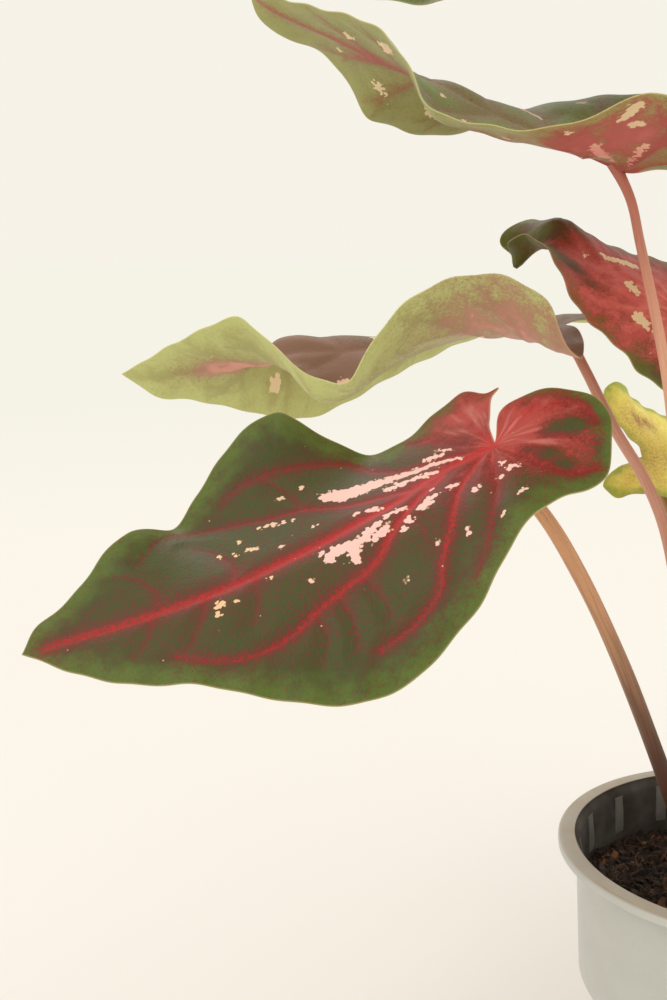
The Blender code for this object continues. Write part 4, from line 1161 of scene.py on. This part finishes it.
def crumb_tree():
    """Crumbs and fibres scattered over the upward faces of a surface."""
    takes = [("Geometry", SOLID, None), ("Crumbs", FLOAT, CRUMB_DENSITY),
             ("Crumb size", FLOAT, CRUMB_SIZE), ("Fibres", FLOAT, FIBRE_DENSITY),
             ("Fibre length", FLOAT, FIBRE_LENGTH), ("Seed", WHOLE, 3),
             ("Earth", FINISH, None), ("Bark", FINISH, None)]
    tree, take = group("Soil crumbs", "GeometryNodeTree", takes, [("Geometry", SOLID)])
    up = axis_of(add(tree, "GeometryNodeInputNormal"), "Z")
    level = axis_of(add(tree, "GeometryNodeInputPosition"), "Z")
    open_top = up.math("GREATER_THAN", 0.3) * level.math("GREATER_THAN", SOIL_SHOULDER)
    any_way = ((0, 0, 0), (2 * math.pi,) * 3)
    shares = []
    for k, (density, part, stretch, sizes, skin) in enumerate(CRUMB_KINDS):
        ball = add(tree, "GeometryNodeMeshIcoSphere", [("Radius", 1.0), ("Subdivisions", 1)])
        lump = add(tree, "GeometryNodeTransform", [("Geometry", bent(ball, 0.9 + k)),
                                                   ("Scale", stretch)])
        size = add(tree, "FunctionNodeRandomValue",
                   [("Min", sizes[0]), ("Max", sizes[1]), ("Seed", take["Seed"] + (7.0 + k))],
                   1, data_type="FLOAT")
        shares.append(scattered(take, open_top, lump, take[density] * part,
                                size * take["Crumb size"], any_way, (float(k), 11.0 + k), skin))
    line = add(tree, "GeometryNodeMeshLine", [("Count", 7), ("Offset", (1 / 7, 0, 0))])
    curve = add(tree, "GeometryNodeMeshToCurve", [("Mesh", bent(line, 2.3))])
    round_wire = add(tree, "GeometryNodeCurvePrimitiveCircle", [("Resolution", 4),
                                                                ("Radius", 0.03)])
    fibre = add(tree, "GeometryNodeCurveToMesh", [
        ("Curve", curve), ("Profile Curve", round_wire), ("Fill Caps", True)])
    lying = ((-0.5, -0.35, 0), (0.5, 0.35, 2 * math.pi))
    shares.append(scattered(take, open_top, fibre, take["Fibres"], take["Fibre length"], lying,
                            (21.0, 31.0), "Bark"))
    joined = node(tree, "GeometryNodeJoinGeometry")
    for share in shares:
        tree.links.new(share.socket, joined.inputs[0])
    return ended(tree, Geometry=realized(Wire(joined.outputs[0])))


def crumbs_piece(soil, earth, bark):
    crumbs = bpy.data.objects.new("soil_crumbs", soil.data.copy())
    bpy.context.scene.collection.objects.link(crumbs)
    use_tree(crumbs, crumb_tree(), {"Crumbs": CRUMB_DENSITY, "Fibres": FIBRE_DENSITY, "Seed": 3,
                                    "Earth": earth, "Bark": bark})
    return hold_inside(crumbs)


def hold_inside(crumbs):
    """Draws in what would pass through the pot's wall."""
    for vert in crumbs.data.vertices:
        room = wall_radius(vert.co.z) - WALL - RIB_DEPTH
        out = math.hypot(vert.co.x, vert.co.y)
        if out > room:
            vert.co.x *= room / out
            vert.co.y *= room / out
    return crumbs


def tuber_piece(skin):
    """The tuber: a flattened ball with shallow knobs."""
    profile = [(TUBER_RADIUS * math.sin(t), TUBER_HALF_HEIGHT * math.cos(t))
               for t in np.linspace(0, math.pi, 25)]
    verts, faces = turned(profile, 64)
    shaped = []
    for v in verts:
        spot = Vector(v)
        bump = noise.fractal(spot * 260, 0.8, 2.0, 3) * 0.03
        shaped.append(spot * (0.985 + min(0.012, bump)) + TUBER_CENTRE)
    return mesh_piece("tuber_body", shaped, faces, [skin], 70)


def pot_skin_group():
    """Grey plastic with fine grain, soil residue and painted shade inside the wall, and dust on top
    of the rim, heavy enough to paint its shade too.
    """
    tree, take = skin_group("Pot skin", ("Base", "Second", "Soil residue and shade", "Dust and shade"),
                            {"Soil residue and shade share": 0.92})
    place = take["Place"]
    coarse, fine = grain(place, 90.0, 4), grain(place, 900.0, 3)
    level = axis_of(place, "Z")
    radius = vector("LENGTH", vector("MULTIPLY", place, (1, 1, 0)), gives="Value")
    wall = ranged(level, STEP_TOP, UNDER_LIP, WALL_STEP_RADIUS - WALL / 2,
                  WALL_TOP_RADIUS - WALL / 2)
    flare = ranged(level, UNDER_LIP, POT_HEIGHT, 0.0, 0.8 * WALL)
    # The inside of the wall above the soil, darkened by soil residue and by painted shade
    inside = step(radius - (wall + flare), 0.1 * MM, -0.1 * MM)
    inside = inside * step(level, STEP_TOP, SOIL_SHOULDER)
    colour = mix(step(coarse, 0.15, 0.85), take["Base"], take["Second"])
    colour = mix(step(fine, 0.62, 0.72) * 0.12, colour, take["Dust and shade"])
    # Dust on the rim's top, laid on thickly enough to paint the shade that falls there as well
    rim_top = step(level, POT_HEIGHT - RIM_EDGE, POT_HEIGHT - RIM_EDGE / 8)
    colour = mix(rim_top * (coarse * 0.7 + 0.25), colour, take["Dust and shade"])
    uneven = take["Soil residue and shade share"] * (shifted(coarse, 0.5) + 1.0)
    residue_and_shade = inside.math("MULTIPLY", uneven, use_clamp=True)
    colour = mix(residue_and_shade, colour, take["Soil residue and shade"])
    return ended(tree, Color=colour, Roughness=fine * 0.15 + (residue_and_shade * 0.4 + 0.32),
                 Height=coarse + fine * 0.5)


def earth_grain_group():
    """Two colours in grains, with a third in specks: for soil, bark and tuber."""
    tree, take = skin_group("Earth grain", ("Base", "Second", "Specks"),
                            {"Speck share": 0.3, "Gloss": 0.5})
    coarse, fine = grain(take["Place"], 260.0, 4), grain(take["Place"], 1820.0, 3)
    colour = mix(step(coarse, 0.34, 0.66), take["Base"], take["Second"])
    colour = mix(step(fine, 0.6, 0.7) * take["Speck share"], colour, take["Specks"])
    return ended(tree, Color=colour, Roughness=take["Gloss"] + fine * 0.15,
                 Height=coarse + fine * 0.5)


def earth_finish(name, skin, base, second, specks, share, gloss, bump, depth):
    values = {"Base": rgb(*base), "Second": rgb(*second), "Specks": rgb(*specks),
              "Speck share": share, "Gloss": gloss}
    return finish_material(name, skin, values, PLACE_ONLY, bump, depth)


def dress(piece, slot, *nodes):
    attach(piece, "root")
    if nodes:
        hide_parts(*nodes)


def build_plant():
    skin = leaf_skin_group()
    stalk_skin = stalk_skin_group()
    tube = stalk_tree()
    for name, leaf in LEAVES.items():
        sheet = Sheet(leaf)
        top, under = LEAF_LOOKS[name]
        finishes = [leaf_material(f"{name}_upper_side", skin, **{**DARK_TOP, **top}),
                    leaf_material(f"{name}_underside", skin, **{**PALE_UNDER, **under})]
        grid = FRONT_GRID if name == "front" else LEAF_GRID
        blade = blade_piece(name, leaf, sheet, grid, finishes)
        dress(blade, LEAF_SLOTS[name], f"{name}_blade")
        upper, middle, foot = (rgb(*tone) for tone in STALK_LOOKS[name])
        tone = finish_material(f"{name}_stalk_skin", stalk_skin,
                               {"Top": upper, "Middle": middle, "Foot": foot}, STALK_MARKS,
                               bump=0.4, depth=0.1 * MM)
        dress(stalk_piece(name, leaf, sheet, tube, tone), "stalk", f"{name}_stalk")


def build_pot():
    pot_skin = pot_skin_group()
    # The dark inner tone paints soil residue and shade together, and the dust tone also paints
    # shade on the rim top
    tones = {"Base": rgb(190, 191, 186), "Second": rgb(197, 197, 191), "Soil residue and shade": rgb(46, 37, 28),
             "Dust and shade": rgb(150, 128, 100)}
    # The ribs get less of the dark inner tone than the wall between them: painted light on the ribs
    plastic, rib_plastic = (
        finish_material(name, pot_skin, {**tones, **extra}, PLACE_ONLY, bump=0.12,
                        depth=0.05 * MM)
        for name, extra in (("grey_plastic", {}), ("rib_plastic", {"Soil residue and shade share": 0.66})))
    earth_grain = earth_grain_group()
    earth = earth_finish("damp_earth", earth_grain, (27, 19, 13), (56, 38, 27), (110, 72, 44),
                         0.5, 0.78, 0.9, 0.5 * MM)
    bark = earth_finish("bark_bits", earth_grain, (70, 42, 25), (118, 74, 42), (158, 112, 70),
                        0.4, 0.7, 0.7, 0.2 * MM)
    husk = earth_finish("tuber_husk", earth_grain, (96, 68, 46), (126, 94, 64), (70, 46, 32),
                        0.5, 0.75, 0.7, 0.3 * MM)
    dress(pot_piece(plastic), "pot", "pot")
    dress(ribs_piece(rib_plastic), "pot")
    soil = soil_piece(earth)
    dress(crumbs_piece(soil, earth, bark), "soil")
    dress(soil, "soil", "soil")
    dress(tuber_piece(husk), "tuber", "tuber")


# Studio
def soft_sun(name, spot, strength, colour):
    """A wide soft lamp that shines from a spot towards the origin, evenly over the floor."""
    lamp = bpy.data.lights.new(name, "SUN")
    lamp.energy, lamp.color, lamp.angle = strength, colour, math.radians(35)
    light = bpy.data.objects.new(name, lamp)
    bpy.context.scene.collection.objects.link(light)
    light.location = spot
    light.rotation_mode = "QUATERNION"
    light.rotation_quaternion = (-Vector(spot)).to_track_quat("-Z", "Y")


def floor_material():
    """Matt pale floor, painted lighter and a little warmer near the pot to offset the pot's shadow.
    """
    ground = bpy.data.materials.new("pale_floor")
    ground.use_nodes = True
    tree = ground.node_tree
    shader = tree.nodes["Principled BSDF"]
    place = object_place(tree)
    reach = vector("LENGTH", place, gives="Value")
    # Painted light: lighter near the pot, where the pot and plant cast their shadow
    near = mix(grain(place, 3.0, 2), rgb(229, 226, 223), rgb(232, 229, 226))
    tone = mix(step(reach, 0.2, 2.0), near, rgb(222, 222, 219))
    tree.links.new(tone.socket, shader.inputs["Base Color"])
    shader.inputs["Roughness"].default_value = 1.0
    shader.inputs["Specular IOR Level"].default_value = 0.0
    return ground


def build_studio():
    scene = bpy.context.scene
    world = bpy.data.worlds.new("studio")
    scene.world = world
    world.use_nodes = True
    backdrop = world.node_tree.nodes["Background"]
    backdrop.inputs["Color"].default_value = (1.0, 0.963, 0.872, 1.0)
    backdrop.inputs["Strength"].default_value = 0.925
    verts, faces = turned([(0, 0), (FLOOR_REACH, 0), (FLOOR_REACH, -FLOOR_THICKNESS),
                           (0, -FLOOR_THICKNESS)], 96)
    verts = [(x, y, z - FLOOR_DROP) for x, y, z in verts]
    mesh_piece("floor", verts, faces, [floor_material()])
    soft_sun("key", (-0.9, -0.5, 1.3), 0.9, (1.0, 0.98, 0.94))
    soft_sun("back", (-0.3, 1.2, 1.1), 0.5, (1.0, 1.0, 1.0))
    scene.view_settings.view_transform = "Standard"
    lens = bpy.data.cameras.new("camera")
    lens.lens, lens.sensor_width, lens.sensor_fit = LENS, SENSOR_WIDTH, "AUTO"
    camera = bpy.data.objects.new("camera", lens)
    scene.collection.objects.link(camera)
    camera.location = CAMERA_SPOT
    camera.rotation_euler = (math.radians(90 - CAMERA_DIP), 0, 0)
    scene.camera = camera


build_studio()
build_pot()
build_plant()
